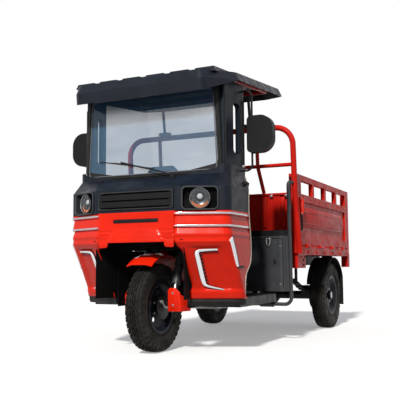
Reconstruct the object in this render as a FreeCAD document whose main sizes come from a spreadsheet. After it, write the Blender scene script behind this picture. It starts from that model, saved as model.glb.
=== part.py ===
"""Three-wheeled cargo tricycle with a half cab, open at the sides, and a fenced cargo bed."""
import FreeCAD, Part
import math
import os
import re

import Sketcher

os.makedirs("parts", exist_ok=True)

# Driving dimensions, in millimetres, degrees or shares.
# x is to the vehicle's left, y to its rear and z up; y is measured from the front axle.
SIZES = {
    # Stance
    "wheelbase": 2090,
    "axle_height": 285,
    "rear_half_track": 556,
    # Tyres and rims
    "tyre_radius": 285,
    "tyre_half_width": 63,
    "tyre_crown_half_width": 50,
    "tyre_shoulder_drop": 22,
    "tyre_wall": 12,
    "bead_radius": 154,
    "bead_half_width": 44,
    "bead_drop": 16,
    "rim_wall": 4,
    "rim_well_radius": 132,
    "rim_well_half_width": 20,
    "rim_disc": 5,
    "rim_disc_offset": 16,
    "rim_slot_radius": 16,
    "rim_slot_circle": 92,
    "rim_slots": 5,
    "hub_radius": 38,
    "hub_half_width": 48,
    "axle_radius": 9,
    "running_gap": 0.4,
    # Steering and fork
    "rake": 20,
    "fork_offset": 40,
    "leg_spacing": 125,
    "leg_radius": 20,
    "slider_radius": 16,
    "leg_length": 645,
    "leg_foot": 26,
    "lower_clamp": 400,
    "upper_clamp": 612,
    "clamp_thickness": 24,
    "clamp_depth": 70,
    "clamp_margin": 16,
    "stem_radius": 16,
    "stem_gap": 0.4,
    "head_gap": 6,
    "head_radius": 30,
    "spring_radius": 32,
    "spring_wire": 5,
    "spring_bottom": 160,
    "spring_top": 385,
    "spring_turns": 5,
    "front_mudguard_radius": 352,
    "front_mudguard_half_width": 92,
    "front_mudguard_wall": 4,
    "front_mudguard_crown": 14,
    "front_mudguard_round": 30,
    "front_mudguard_lead": 38,
    "front_mudguard_trail": 62,
    "guard_top": 415,
    "guard_bottom": 262,
    "guard_outer": 205,
    "guard_thickness": 8,
    "guard_lead": 34,
    "guard_wing": 70,
    "bar_radius": 11,
    "bar_riser": 60,
    "bar_middle": 110,
    "bar_middle_back": 62,
    "bar_middle_height": 850,
    "bar_shoulder": 300,
    "bar_shoulder_back": 190,
    "grip_half_span": 440,
    "grip_back": 250,
    "grip_height": 980,
    "grip_radius": 17,
    "grip_length": 120,
    "bar_bend": 60,
    # Chassis frame
    "rail_half_spacing": 380,
    "rail_width": 40,
    "rail_height": 80,
    "rail_top": 630,
    "rail_start": 810,
    "cross_member": 40,
    "neck_radius": 22,
    "neck_side": 110,
    "neck_back": 405,
    "neck_knee": 700,
    "neck_bend": 70,
    "floor_rail": 40,
    "floor_rail_start": 140,
    "cab_upright": 26,
    "cab_upright_side": 520,
    "cab_upright_back": 140,
    # Cab floor
    "floor_top": 349,
    "floor_depth": 60,
    "floor_sheet": 5,
    "floor_half_width": 550,
    "floor_start": 120,
    "arch_half_width": 256,
    "arch_back": 350,
    "arch_top": 655,
    "arch_wall": 5,
    "arch_front": -40,
    # Fascia
    "fascia_top": 890,
    "fascia_front": 252,
    "fascia_half_flat": 272,
    "fascia_half_width": 588,
    "fascia_corner_back": 118,
    "fascia_corner_radius": 60,
    "fascia_rear": 190,
    "fascia_rear_waist": 222,
    "fascia_wall": 12,
    "fascia_arch_top": 700,
    "fascia_knee": 590,
    "fascia_knee_slip": 70,
    "fascia_skirt": 400,
    "fascia_bottom": 345,
    "fascia_undercut": 180,
    "fascia_bottom_slip": 200,
    "fascia_skirt_rear": 130,
    "bulge_half_top": 156,
    "bulge_half_bottom": 200,
    "bulge_height": 80,
    "bulge_proud": 16,
    "name_strip_half": 165,
    "name_strip_height": 26,
    "name_strip_depth": 3,
    "name_strip_drop": 68,
    # Cowl, grille and headlamps
    "cowl_band": 150,
    "cowl_slope": 88,
    "cowl_rim": 57,
    "cowl_top_front": 76,
    "cowl_top_half_flat": 400,
    "cowl_top_half_width": 560,
    "cowl_top_corner_back": 76,
    "cowl_top_rear": 205,
    "grille_half_width": 296,
    "grille_margin": 8,
    "grille_thickness": 14,
    "grille_slots": 3,
    "grille_slot_height": 9,
    "grille_slot_side": 24,
    "lamp_side": 423,
    "lamp_forward": 196,
    "lamp_turn": 24,
    "lamp_radius": 64,
    "lamp_depth": 46,
    "lamp_sink": 18,
    "lens_bulge": 14,
    "lamp_cup_half_width": 112,
    "lamp_cup_half_height": 72,
    "lamp_cup_corner": 30,
    "lamp_cup_wall": 4,
    "lamp_cup_depth": 40,
    "lamp_cup_proud": 6,
    "lamp_gap": 0.3,
    "seat_gap": 0.3,
    "strip_height": 14,
    "strip_proud": 5,
    "strip_drop": 24,
    "strip_pitch": 76,
    # Running lamps on the fascia
    "running_lamp_proud": 6,
    "running_lamp_inner": 368,
    "running_lamp_outer": 510,
    "running_lamp_low_outer": 488,
    "running_lamp_top": 655,
    "running_lamp_bottom": 404,
    "running_lamp_drop": 26,
    "running_lamp_bar": 25,
    "running_lamp_arm": 13,
    "running_lamp_corner": 18,
    "side_lamp_inner": 500,
    "side_lamp_top": 719,
    "side_lamp_bottom": 540,
    "side_lamp_lead": 127,
    "side_lamp_tip": 13,
    "side_lamp_rear": 100,
    "side_lamp_foot": 12,
    "side_lamp_width": 60,
    "side_lamp_flare": 18,
    # Cab frame and glass
    "pillar_front_side": 488,
    "pillar_front": 42,
    "pillar_rear_side": 560,
    "pillar_rear": 205,
    "pillar_wall": 34,
    "pillar_top": 1735,
    "pillar_corner": 14,
    "slot_front": 66,
    "slot_rear": 150,
    "slot_bottom": 1270,
    "slot_top": 1600,
    "slot_corner": 30,
    "glass_half_bottom": 486,
    "glass_half_top": 461,
    "glass_rise": 10,
    "glass_dip": 42,
    "glass_top": 1680,
    "glass_thickness": 6,
    "glass_front": 62,
    "seal_width": 26,
    "seal_thickness": 20,
    # Roof
    "roof_front": 250,
    "roof_half_flat": 470,
    "roof_half_width": 600,
    "roof_corner_back": 20,
    "roof_rear": 885,
    "roof_rear_half": 440,
    "roof_rear_back": 960,
    "roof_edge": 1700,
    "roof_tilt": 5.6,
    "roof_depth": 55,
    "roof_wall": 10,
    "visor_drop": 74,
    "visor_wall": 12,
    "roof_corner_radius": 60,
    "roof_edge_round": 24,
    "rib_width": 150,
    "rib_height": 22,
    "rib_pitch": 178,
    "rib_count": 6,
    "rib_front": 170,
    "rib_rear": 800,
    "rib_taper": 12,
    "roof_tube": 14,
    "roof_tube_side": 505,
    "roof_tube_rear": 760,
    "stay_side": 365,
    "stay_radius": 11,
    "stay_bracket": 90,
    "stay_bracket_height": 22,
    # Mirrors
    "mirror_side": 687,
    "mirror_back": 171,
    "mirror_height": 1398,
    "mirror_half_width": 88,
    "mirror_half_height": 121,
    "mirror_depth": 58,
    "mirror_corner": 30,
    "mirror_arm_radius": 7,
    "mirror_arm_side": 625,
    "mirror_arm_bend": 40,
    "mirror_arm_drop": 45,
    "mirror_foot_drop": 20,
    # Inside the cab
    "dash_front": 30,
    "dash_bottom": 940,
    "dash_top": 1140,
    "dash_half_width": 470,
    "seat_box_front": 500,
    "seat_box_half_width": 270,
    "seat_box_top": 740,
    "seat_box_wall": 6,
    "seat_half_width": 260,
    "seat_thickness": 90,
    "seat_front": 480,
    "seat_back_top": 1180,
    "seat_back_thickness": 70,
    "cover_front": 790,
    "cover_half_width": 640,
    "cover_bottom": 365,
    "cover_top": 765,
    "cover_wall": 8,
    "cover_corner": 60,
    "shelf_top": 806,
    # Engine and drive
    "engine_half_width": 190,
    "engine_front": 560,
    "engine_back": 980,
    "engine_bottom": 245,
    "engine_top": 540,
    "engine_arm": 40,
    "propshaft_radius": 26,
    "propshaft_height": 400,
    "propshaft_gap": 4,
    "silencer_radius": 58,
    "silencer_side": 250,
    "silencer_start": 1080,
    "silencer_end": 1500,
    "silencer_inset": 60,
    "silencer_height": 470,
    "exhaust_pipe": 18,
    "exhaust_bend": 36,
    "exhaust_lead": 80,
    "tail_pipe": 130,
    # Side guards
    "side_guard_side": 668,
    "side_guard_back": 788,
    "side_guard_radius": 13,
    "side_guard_foot": 275,
    "side_guard_top": 1150,
    "side_guard_bend": 50,
    "side_guard_top_bend": 26,
    "side_guard_lead": 33,
    "side_guard_pad": 8,
    "side_guard_pad_width": 54,
    "side_guard_pad_length": 200,
    "side_guard_gap": 2,
    # Cargo bed
    "bed_start": 945,
    "bed_length": 1560,
    "bed_half_width": 670,
    "bed_floor": 696,
    "bed_floor_sheet": 6,
    "sill_height": 66,
    "sill_wall": 30,
    "bed_cross_members": 5,
    "bed_bolt_radius": 6.5,
    "bed_bolt_side": 450,
    "bed_bolt_reach": 570,
    "post_side": 60,
    "post_bottom": 530,
    "post_plate": 5,
    "post_plate_width": 130,
    "gate_top": 1235,
    "gate_thickness": 34,
    "gate_gap": 6,
    "gate_panel_top": 1034,
    "gate_mid_rail": 56,
    "gate_top_rail": 44,
    "gate_uprights": 3,
    "gate_upright": 44,
    "gate_panel_recess": 14,
    "gate_panel_border": 60,
    "gate_ledge": 72,
    "hinge_radius": 5,
    "hinge_eye_radius": 9,
    "hinge_offset": 11,
    "hinge_width": 60,
    "hinge_gap": 0.5,
    "hinges": 4,
    "tail_hinges": 3,
    "head_board_top": 1090,
    "head_board_thickness": 26,
    "head_board_rib": 12,
    "head_board_lip": 40,
    "head_board_ribs": 4,
    "head_board_rib_share": 0.25,
    "hoop_radius": 21,
    "hoop_half_width": 692,
    "hoop_foot": 640,
    "hoop_bracket": 90,
    "hoop_bend_height": 1100,
    "hoop_top": 1562,
    "hoop_lead": 90,
    "hoop_top_lead": 34,
    "hoop_corner": 130,
    "hoop_bar_height": 1285,
    "hoop_bar_radius": 14,
    "hoop_upright": 412,
    # Rear running gear
    "axle_tube_radius": 36,
    "axle_tube_half": 440,
    "diff_radius": 115,
    "rear_drum_radius": 112,
    "rear_drum_inner": 430,
    "rear_drum_outer": 492,
    "spindle_radius": 17,
    "saddle_width": 74,
    "saddle_length": 110,
    "saddle_plate": 10,
    "leaf_width": 50,
    "leaf_thickness": 8,
    "leaves": 4,
    "leaf_half_length": 400,
    "leaf_camber": 85,
    "leaf_step": 75,
    "leaf_eye_radius": 16,
    "leaf_pin_radius": 7,
    "hanger_thickness": 10,
    "hanger_length": 50,
    "rear_mudguard_radius": 332,
    "rear_mudguard_half_width": 80,
    "rear_mudguard_wall": 4,
    "rear_mudguard_front": 72,
    "rear_mudguard_rear": 62,
    "rear_mudguard_bracket": 20,
    "flap_bottom": 190,
    "flap_thickness": 5,
    "tail_lamp_width": 54,
    "tail_lamp_height": 110,
    "tail_lamp_side": 612,
    "tail_lamp_bottom": 545,
    "tail_lamp_depth": 30,
}

# Levels that follow from the sizes
LEVELS = {
    "cowl_waist": "fascia_top + cowl_band",
    "cowl_deck": "cowl_waist + cowl_slope",
    "cowl_top": "cowl_deck + cowl_rim",
    "lamp_height": "(fascia_top + cowl_waist) / 2",
    "grille_bottom": "fascia_top + grille_margin",
    "grille_top": "cowl_waist - grille_margin",
    "upper_strip": "fascia_top - strip_drop",
    "lower_strip": "upper_strip - strip_pitch",
    "name_strip_bottom": "fascia_top - name_strip_drop",
    "glass_bottom": "cowl_top + glass_rise",
    "mirror_arm_top": "pillar_top - mirror_arm_drop",
    "mirror_arm_foot": "cowl_top - mirror_foot_drop",
}

doc = FreeCAD.newDocument("cargo_tricycle")
sheet = doc.addObject("Spreadsheet::Sheet", "Sizes")
rows = list(SIZES.items()) + [(alias, "=" + rule) for alias, rule in LEVELS.items()]
for row, (alias, size) in enumerate(rows, start=1):
    sheet.set(f"A{row}", alias)
    sheet.setAlias(f"B{row}", alias)
    sheet.set(f"B{row}", str(size))
doc.recompute()

PARTS = []


def cells(expression):
    """The expression with each size read from the sheet."""
    def prefixed(word):
        name = word.group()
        return "Sizes." + name if name in SIZES or name in LEVELS else name
    return re.sub(r"[a-z][a-z0-9_]*", prefixed, str(expression))


def number(expression):
    """The present value of an expression of sizes."""
    return float(sheet.evalExpression(cells(expression)))


def spot(x, y, z):
    return FreeCAD.Vector(number(x), number(y), number(z))


def bind(thing, **expressions):
    for name, expression in expressions.items():
        thing.setExpression(name, cells(expression))


Y_PLACES = {}


def place(thing, x="0", y="0", z="0"):
    Y_PLACES[thing.Name] = y
    for axis, expression in (("x", x), ("y", y), ("z", z)):
        thing.setExpression("Placement.Base." + axis, cells(expression))


# The origin lies on the ground, halfway along the vehicle.
HALFWAY = "(tyre_radius - bed_start - bed_length - tail_lamp_depth) / 2"


def finish(label, thing):
    """Names a finished sub-part and moves it from the front axle's frame to the vehicle's."""
    thing.Label = label
    thing.setExpression("Placement.Base.y", cells(f"{Y_PLACES.get(thing.Name, '0')} + {HALFWAY}"))
    PARTS.append(thing)
    return thing


# Primitives and booleans

def block(name, x, y, z):
    """A box between two expressions along each axis."""
    box = doc.addObject("Part::Box", name)
    bind(box, Length=f"({x[1]}) - ({x[0]})", Width=f"({y[1]}) - ({y[0]})", Height=f"({z[1]}) - ({z[0]})")
    place(box, x[0], y[0], z[0])
    return box


def rod(name, start, end, radius):
    """A round bar between two points."""
    first = spot(*start)
    along = spot(*end) - first
    bar = doc.addObject("Part::Cylinder", name)
    bind(bar, Radius=radius)
    bar.Height = along.Length
    turn = FreeCAD.Rotation(FreeCAD.Vector(0, 0, 1), along)
    bar.Placement = FreeCAD.Placement(first, turn)
    return bar


def join(name, *pieces):
    fused = doc.addObject("Part::MultiFuse", name)
    fused.Shapes = list(pieces)
    return fused


def cut(name, base, *tools):
    removed = doc.addObject("Part::Cut", name)
    removed.Base = base
    removed.Tool = tools[0] if len(tools) == 1 else join(name + "_tools", *tools)
    return removed


def overlap(name, base, tool):
    common = doc.addObject("Part::Common", name)
    common.Base = base
    common.Tool = tool
    return common


def mirrored(name, source):
    """The piece of the other side, across the vehicle's middle plane."""
    twin = doc.addObject("Part::Mirroring", name)
    twin.Source = source
    twin.Normal = (1, 0, 0)
    return twin


def both_sides(name, left):
    """One node of like solids, left and right."""
    pair = doc.addObject("Part::Compound", name)
    pair.Links = [left, mirrored(name + "_twin", left)]
    return pair


def shaped(name, shape):
    piece = doc.addObject("Part::Feature", name)
    piece.Shape = shape
    return piece


# Bodies with sketches

def body(name):
    return doc.addObject("PartDesign::Body", name)


def sketch_on(owner, plane, offset="0"):
    """A sketch on one of the body's own origin planes, moved along the plane's normal."""
    planes = {feature.Role: feature for feature in owner.Origin.OriginFeatures}
    sketch = owner.newObject("Sketcher::SketchObject", owner.Name + "_sketch")
    sketch.AttachmentSupport = [(planes[plane], "")]
    sketch.MapMode = "FlatFace"
    sketch.setExpression("AttachmentOffset.Base.z", cells(offset))
    return sketch


def fix(sketch, geometry, end, x, y):
    """Holds one end of a sketched line at a place given by two expressions."""
    for kind, expression in (("DistanceX", x), ("DistanceY", y)):
        held = sketch.addConstraint(Sketcher.Constraint(kind, geometry, end, number(expression)))
        sketch.setExpression(f"Constraints[{held}]", cells(expression))


def outline(sketch, corners):
    """A closed outline of straight edges; a corner with a third expression is rounded by that radius."""
    places = [FreeCAD.Vector(number(corner[0]), number(corner[1]), 0) for corner in corners]
    count = len(corners)
    entries = []
    exits = []
    arcs = []
    for index, corner in enumerate(corners):
        here = places[index]
        before = (places[index - 1] - here).normalize()
        after = (places[(index + 1) % count] - here).normalize()
        if len(corner) < 3:
            entries.append(here)
            exits.append(here)
            arcs.append(None)
            continue
        radius = number(corner[2])
        half_angle = before.getAngle(after) / 2
        reach = radius / math.tan(half_angle)
        centre = here + (before + after).normalize() * (radius / math.sin(half_angle))
        entries.append(here + before * reach)
        exits.append(here + after * reach)
        turns_left = before.cross(after).z < 0
        first, last = (entries[-1], exits[-1]) if turns_left else (exits[-1], entries[-1])
        angles = [math.atan2(end.y - centre.y, end.x - centre.x) for end in (first, last)]
        circle = Part.Circle(centre, FreeCAD.Vector(0, 0, 1), radius)
        arcs.append((Part.ArcOfCircle(circle, angles[0], angles[1]), turns_left))
    base = sketch.GeometryCount
    for index in range(count):
        sketch.addGeometry(Part.LineSegment(exits[index], entries[(index + 1) % count]), False)
    for index, corner in enumerate(corners):
        line_in = base + (index - 1) % count
        line_out = base + index
        if arcs[index] is None:
            sketch.addConstraint(Sketcher.Constraint("Coincident", line_in, 2, line_out, 1))
            fix(sketch, line_out, 1, corner[0], corner[1])
            continue
        arc, turns_left = arcs[index]
        bend = sketch.addGeometry(arc, False)
        mark = sketch.addGeometry(Part.Point(places[index]), True)
        sketch.addConstraint(Sketcher.Constraint("Tangent", line_in, 2, bend, 1 if turns_left else 2))
        sketch.addConstraint(Sketcher.Constraint("Tangent", line_out, 1, bend, 2 if turns_left else 1))
        sketch.addConstraint(Sketcher.Constraint("PointOnObject", mark, 1, line_in))
        sketch.addConstraint(Sketcher.Constraint("PointOnObject", mark, 1, line_out))
        fix(sketch, mark, 1, corner[0], corner[1])
        held = sketch.addConstraint(Sketcher.Constraint("Radius", bend, number(corner[2])))
        sketch.setExpression(f"Constraints[{held}]", cells(corner[2]))
    return sketch


def disc(sketch, x, y, radius):
    """A circle in a sketch."""
    circle = sketch.addGeometry(Part.Circle(FreeCAD.Vector(number(x), number(y), 0),
                                            FreeCAD.Vector(0, 0, 1), number(radius)), False)
    fix(sketch, circle, 3, x, y)
    held = sketch.addConstraint(Sketcher.Constraint("Radius", circle, number(radius)))
    sketch.setExpression(f"Constraints[{held}]", cells(radius))
    return sketch


def pad(owner, sketch, length, both=False, reverse=False):
    grown = owner.newObject("PartDesign::Pad", owner.Name + "_pad")
    grown.Profile = sketch
    grown.SideType = "Symmetric" if both else "One side"
    grown.Reversed = reverse
    grown.setExpression("Length", cells(length))
    owner.Tip = grown
    return grown


def pocket(owner, sketch, length, both=False, reverse=False):
    sunk = owner.newObject("PartDesign::Pocket", owner.Name + "_pocket")
    sunk.Profile = sketch
    sunk.SideType = "Symmetric" if both else "One side"
    sunk.Reversed = reverse
    sunk.setExpression("Length", cells(length))
    owner.Tip = sunk
    return sunk


def spin(owner, sketch, axis="H_Axis"):
    turned = owner.newObject("PartDesign::Revolution", owner.Name + "_turned")
    turned.Profile = sketch
    turned.ReferenceAxis = (sketch, [axis])
    owner.Tip = turned
    return turned


def loft(owner, sketches):
    skin = owner.newObject("PartDesign::AdditiveLoft", owner.Name + "_loft")
    skin.Profile = sketches[0]
    skin.Sections = sketches[1:]
    skin.Ruled = True
    owner.Tip = skin
    return skin


def bent_tube(name, points, radius, bend):
    """A round tube along straight runs joined by arcs of one bend radius."""
    return shaped(name, tube_shape([spot(*point) for point in points], number(radius), number(bend)))


def tube_shape(places, radius, bend):
    pieces = []
    start = places[0]
    for before, here, after in zip(places, places[1:], places[2:]):
        back = (before - here).normalize()
        onward = (after - here).normalize()
        half_angle = back.getAngle(onward) / 2
        entry = here + back * (bend / math.tan(half_angle))
        centre = here + (back + onward).normalize() * (bend / math.sin(half_angle))
        axis = onward.cross(back)
        ring = Part.Face(Part.Wire([Part.Circle(entry, back, radius).toShape()]))
        pieces.append(Part.makeCylinder(radius, (entry - start).Length, start, entry - start))
        pieces.append(ring.revolve(centre, axis, 180 - math.degrees(2 * half_angle)))
        start = here + onward * (bend / math.tan(half_angle))
    pieces.append(Part.makeCylinder(radius, (places[-1] - start).Length, start, places[-1] - start))
    return pieces[0].multiFuse(pieces[1:])


# Wheels

def tyre(name):
    """A hollow tyre, turned about its axle; its beads sit in the rim."""
    owner = body(name)
    section = sketch_on(owner, "XZ_Plane")
    middle = "(bead_radius + tyre_radius) / 2"
    inside = "tyre_radius - tyre_shoulder_drop"
    outline(section, [
        ("-bead_half_width", "bead_radius"),
        ("-tyre_half_width", middle),
        ("-tyre_crown_half_width", "tyre_radius"),
        ("tyre_crown_half_width", "tyre_radius"),
        ("tyre_half_width", middle),
        ("bead_half_width", "bead_radius"),
        ("bead_half_width - tyre_wall", "bead_radius"),
        ("tyre_half_width - tyre_wall", middle),
        ("tyre_crown_half_width - tyre_wall", inside),
        ("-tyre_crown_half_width + tyre_wall", inside),
        ("-tyre_half_width + tyre_wall", middle),
        ("-bead_half_width + tyre_wall", "bead_radius"),
    ])
    spin(owner, section)
    return owner


def rim(name, bore, disc_side):
    """A drop-centre rim turned in one piece with its disc and hub; disc_side is 1 or -1."""
    owner = body(name)
    section = sketch_on(owner, "XZ_Plane")
    side = f"({disc_side})"
    back = f"rim_disc_offset * {side} - rim_disc / 2"
    front = f"rim_disc_offset * {side} + rim_disc / 2"
    outline(section, [
        ("-bead_half_width - 2 * rim_wall", "bead_radius + bead_drop"),
        ("-bead_half_width", "bead_radius"),
        ("-rim_well_half_width", "rim_well_radius"),
        ("rim_well_half_width", "rim_well_radius"),
        ("bead_half_width", "bead_radius"),
        ("bead_half_width + 2 * rim_wall", "bead_radius + bead_drop"),
        ("bead_half_width + rim_wall", "bead_radius - rim_wall"),
        ("rim_well_half_width", "rim_well_radius - rim_wall"),
        (front, "rim_well_radius - rim_wall"),
        (front, "hub_radius"),
        ("hub_half_width", "hub_radius"),
        ("hub_half_width", bore),
        ("-hub_half_width", bore),
        ("-hub_half_width", "hub_radius"),
        (back, "hub_radius"),
        (back, "rim_well_radius - rim_wall"),
        ("-rim_well_half_width", "rim_well_radius - rim_wall"),
        ("-bead_half_width - rim_wall", "bead_radius - rim_wall"),
    ])
    spin(owner, section)
    hole = disc(sketch_on(owner, "YZ_Plane"), "0", "rim_slot_circle", "rim_slot_radius")
    slot = pocket(owner, hole, "2 * hub_half_width", both=True)
    ring = owner.newObject("PartDesign::PolarPattern", name + "_slots")
    ring.Originals = [slot]
    x_axis = next(line for line in owner.Origin.OriginFeatures if line.Role == "X_Axis")
    ring.Axis = (x_axis, [""])
    bind(ring, Occurrences="rim_slots")
    owner.Tip = ring
    return owner


def wheel(prefix, suffix, x, y, bore, disc_side):
    for piece, label in ((tyre(prefix + "_tyre" + suffix), prefix + "_tyre" + suffix),
                         (rim(prefix + "_rim" + suffix, bore, disc_side), prefix + "_rim" + suffix)):
        finish(label, piece)
        place(piece, x, f"{y} + {HALFWAY}", "axle_height")


def wheels():
    wheel("front", "", "0", "0", "axle_radius + running_gap", 1)
    for side, suffix in ((1, "_left"), (-1, "_right")):
        wheel("rear", suffix, f"rear_half_track * ({side})", "wheelbase", "spindle_radius + running_gap", side)


# Steering: modelled upright, with the fork legs along z and the axle at the origin, then leaned back

def lean(thing):
    thing.Placement.Rotation = FreeCAD.Rotation(FreeCAD.Vector(-1, 0, 0), number("rake"))
    thing.setExpression("Placement.Rotation.Angle", cells("rake"))
    place(thing, "0", HALFWAY, "axle_height")


def leaned_spot(x, y, z):
    """A place given in the fork's upright frame, in the frame of the front axle."""
    turn = FreeCAD.Rotation(FreeCAD.Vector(-1, 0, 0), number("rake"))
    return turn.multVec(spot(x, y, z)) + spot("0", "0", "axle_height")


def clamp_plate(name, bottom):
    owner = body(name)
    plan = sketch_on(owner, "XY_Plane", bottom)
    reach = "leg_spacing + leg_radius + clamp_margin"
    outline(plan, [
        (f"-({reach})", "-clamp_depth / 2", "clamp_margin"),
        (reach, "-clamp_depth / 2", "clamp_margin"),
        (reach, "clamp_depth / 2", "clamp_margin"),
        ("stem_radius + clamp_margin", "clamp_depth / 2 + fork_offset", "clamp_margin"),
        ("-stem_radius - clamp_margin", "clamp_depth / 2 + fork_offset", "clamp_margin"),
        (f"-({reach})", "clamp_depth / 2", "clamp_margin"),
    ])
    pad(owner, plan, "clamp_thickness")
    return owner


def fork():
    leg = rod("fork_leg", ("leg_spacing", "0", "spring_top"), ("leg_spacing", "0", "leg_length"), "leg_radius")
    slider = rod("fork_slider", ("leg_spacing", "0", "-leg_foot"), ("leg_spacing", "0", "spring_top"),
                 "slider_radius")
    axle = rod("front_axle", ("-leg_spacing", "0", "0"), ("leg_spacing", "0", "0"), "axle_radius")
    stem = rod("steering_stem", ("0", "fork_offset", "lower_clamp"), ("0", "fork_offset", "upper_clamp"),
               "stem_radius")
    return join("fork", leg, slider, mirrored("fork_leg_right", leg), mirrored("fork_slider_right", slider),
                axle, stem, clamp_plate("lower_clamp", "lower_clamp"), clamp_plate("upper_clamp", "upper_clamp"))


def coil(name, x):
    """The ridged boot over one spring, threaded on its leg."""
    owner = body(name)
    section = sketch_on(owner, "XZ_Plane")
    pitch = "(spring_top - spring_bottom) / spring_turns"
    ridges = []
    for turn in range(int(number("spring_turns"))):
        foot = f"spring_bottom + {turn} * {pitch}"
        ridges += [(f"{x} + spring_radius", foot), (f"{x} + spring_radius", f"{foot} + 2 * spring_wire"),
                   (f"{x} + spring_radius - spring_wire", f"{foot} + 2 * spring_wire"),
                   (f"{x} + spring_radius - spring_wire", f"{foot} + {pitch}")]
    outline(section, [(f"{x} + slider_radius", "spring_bottom"), *ridges, (f"{x} + slider_radius", "spring_top")])
    leg = section.addGeometry(Part.LineSegment(spot(x, "0", "0"), spot(x, "spring_top", "0")), True)
    fix(section, leg, 1, x, "0")
    fix(section, leg, 2, x, "spring_top")
    spin(owner, section, "Axis0")
    return owner


def front_mudguard():
    """A crowned blade swept round the tyre's top."""
    owner = body("front_mudguard_blade")
    section = sketch_on(owner, "XZ_Plane")
    edge = "front_mudguard_radius - front_mudguard_crown"
    outline(section, [
        ("-front_mudguard_half_width", edge),
        ("-front_mudguard_half_width / 2", "front_mudguard_radius", "front_mudguard_round"),
        ("front_mudguard_half_width / 2", "front_mudguard_radius", "front_mudguard_round"),
        ("front_mudguard_half_width", edge),
        ("front_mudguard_half_width", f"{edge} - front_mudguard_wall"),
        ("front_mudguard_half_width / 2", "front_mudguard_radius - front_mudguard_wall",
         "front_mudguard_round"),
        ("-front_mudguard_half_width / 2", "front_mudguard_radius - front_mudguard_wall",
         "front_mudguard_round"),
        ("-front_mudguard_half_width", f"{edge} - front_mudguard_wall"),
    ])
    blade = spin(owner, section)
    blade.Type = "TwoAngles"
    blade.setExpression("Angle", cells("front_mudguard_lead + rake"))
    blade.setExpression("Angle2", cells("front_mudguard_trail - rake"))
    stay = block("mudguard_stay", ("-leg_radius", "leg_radius"), ("-leg_radius", "leg_radius"),
                 ("front_mudguard_radius - front_mudguard_wall / 2", "lower_clamp"))
    return join("front_mudguard_whole", owner, stay)


def fork_guard():
    """A bent plate that shields one leg's foot, with a wing swept out behind it."""
    owner = body("fork_guard")
    plan = sketch_on(owner, "XY_Plane", "guard_bottom - axle_height")
    lead = "-guard_lead"
    outline(plan, [
        ("leg_spacing - slider_radius", lead),
        ("guard_outer", lead, "guard_thickness * 2"),
        ("guard_outer + guard_wing / 2", "guard_wing / 2"),
        ("guard_outer + guard_wing / 2 - guard_thickness", "guard_wing / 2"),
        ("guard_outer - guard_thickness / 2", f"{lead} + guard_thickness", "guard_thickness"),
        ("leg_spacing + slider_radius / 2", f"{lead} + guard_thickness"),
        ("leg_spacing + slider_radius / 2", "0"),
        ("leg_spacing - slider_radius / 2", "0"),
        ("leg_spacing - slider_radius / 2", f"{lead} + guard_thickness"),
        ("leg_spacing - slider_radius", f"{lead} + guard_thickness"),
    ])
    pad(owner, plan, "guard_top - guard_bottom")
    shank = rod("fork_guard_bore", ("leg_spacing", "0", "-guard_top"), ("leg_spacing", "0", "guard_top"),
                "slider_radius")
    return cut("fork_guard_fitted", owner, shank)


def handlebar():
    half = [("grip_half_span", "grip_back", "grip_height"),
            ("bar_shoulder", "bar_shoulder_back", "grip_height"),
            ("bar_middle", "bar_middle_back", "bar_middle_height")]
    other = [("-" + x, y, z) for x, y, z in reversed(half)]
    bar = bent_tube("handlebar_tube", half + other, "bar_radius", "bar_bend")
    riser = rod("bar_riser", ("bar_riser", "bar_middle_back", "upper_clamp + clamp_thickness"),
                ("bar_riser", "bar_middle_back", "bar_middle_height"), "bar_radius")
    end = spot(*half[0])
    run = (end - spot(*half[1])).normalize()
    grip = doc.addObject("Part::Cylinder", "grip")
    bind(grip, Radius="grip_radius", Height="grip_length")
    grip.Placement = FreeCAD.Placement(end - run * number("grip_length"),
                                       FreeCAD.Rotation(FreeCAD.Vector(0, 0, 1), run))
    return join("handlebar", bar, riser, mirrored("bar_riser_right", riser), grip, mirrored("grip_right", grip))


def steering():
    for label, thing in (("fork", fork()), ("fork_springs", both_sides("fork_springs", coil("spring", "leg_spacing"))),
                         ("front_mudguard", front_mudguard()),
                         ("fork_guards", both_sides("fork_guards", fork_guard())),
                         ("handlebar", handlebar())):
        finish(label, thing)
        lean(thing)


# Chassis

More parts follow.
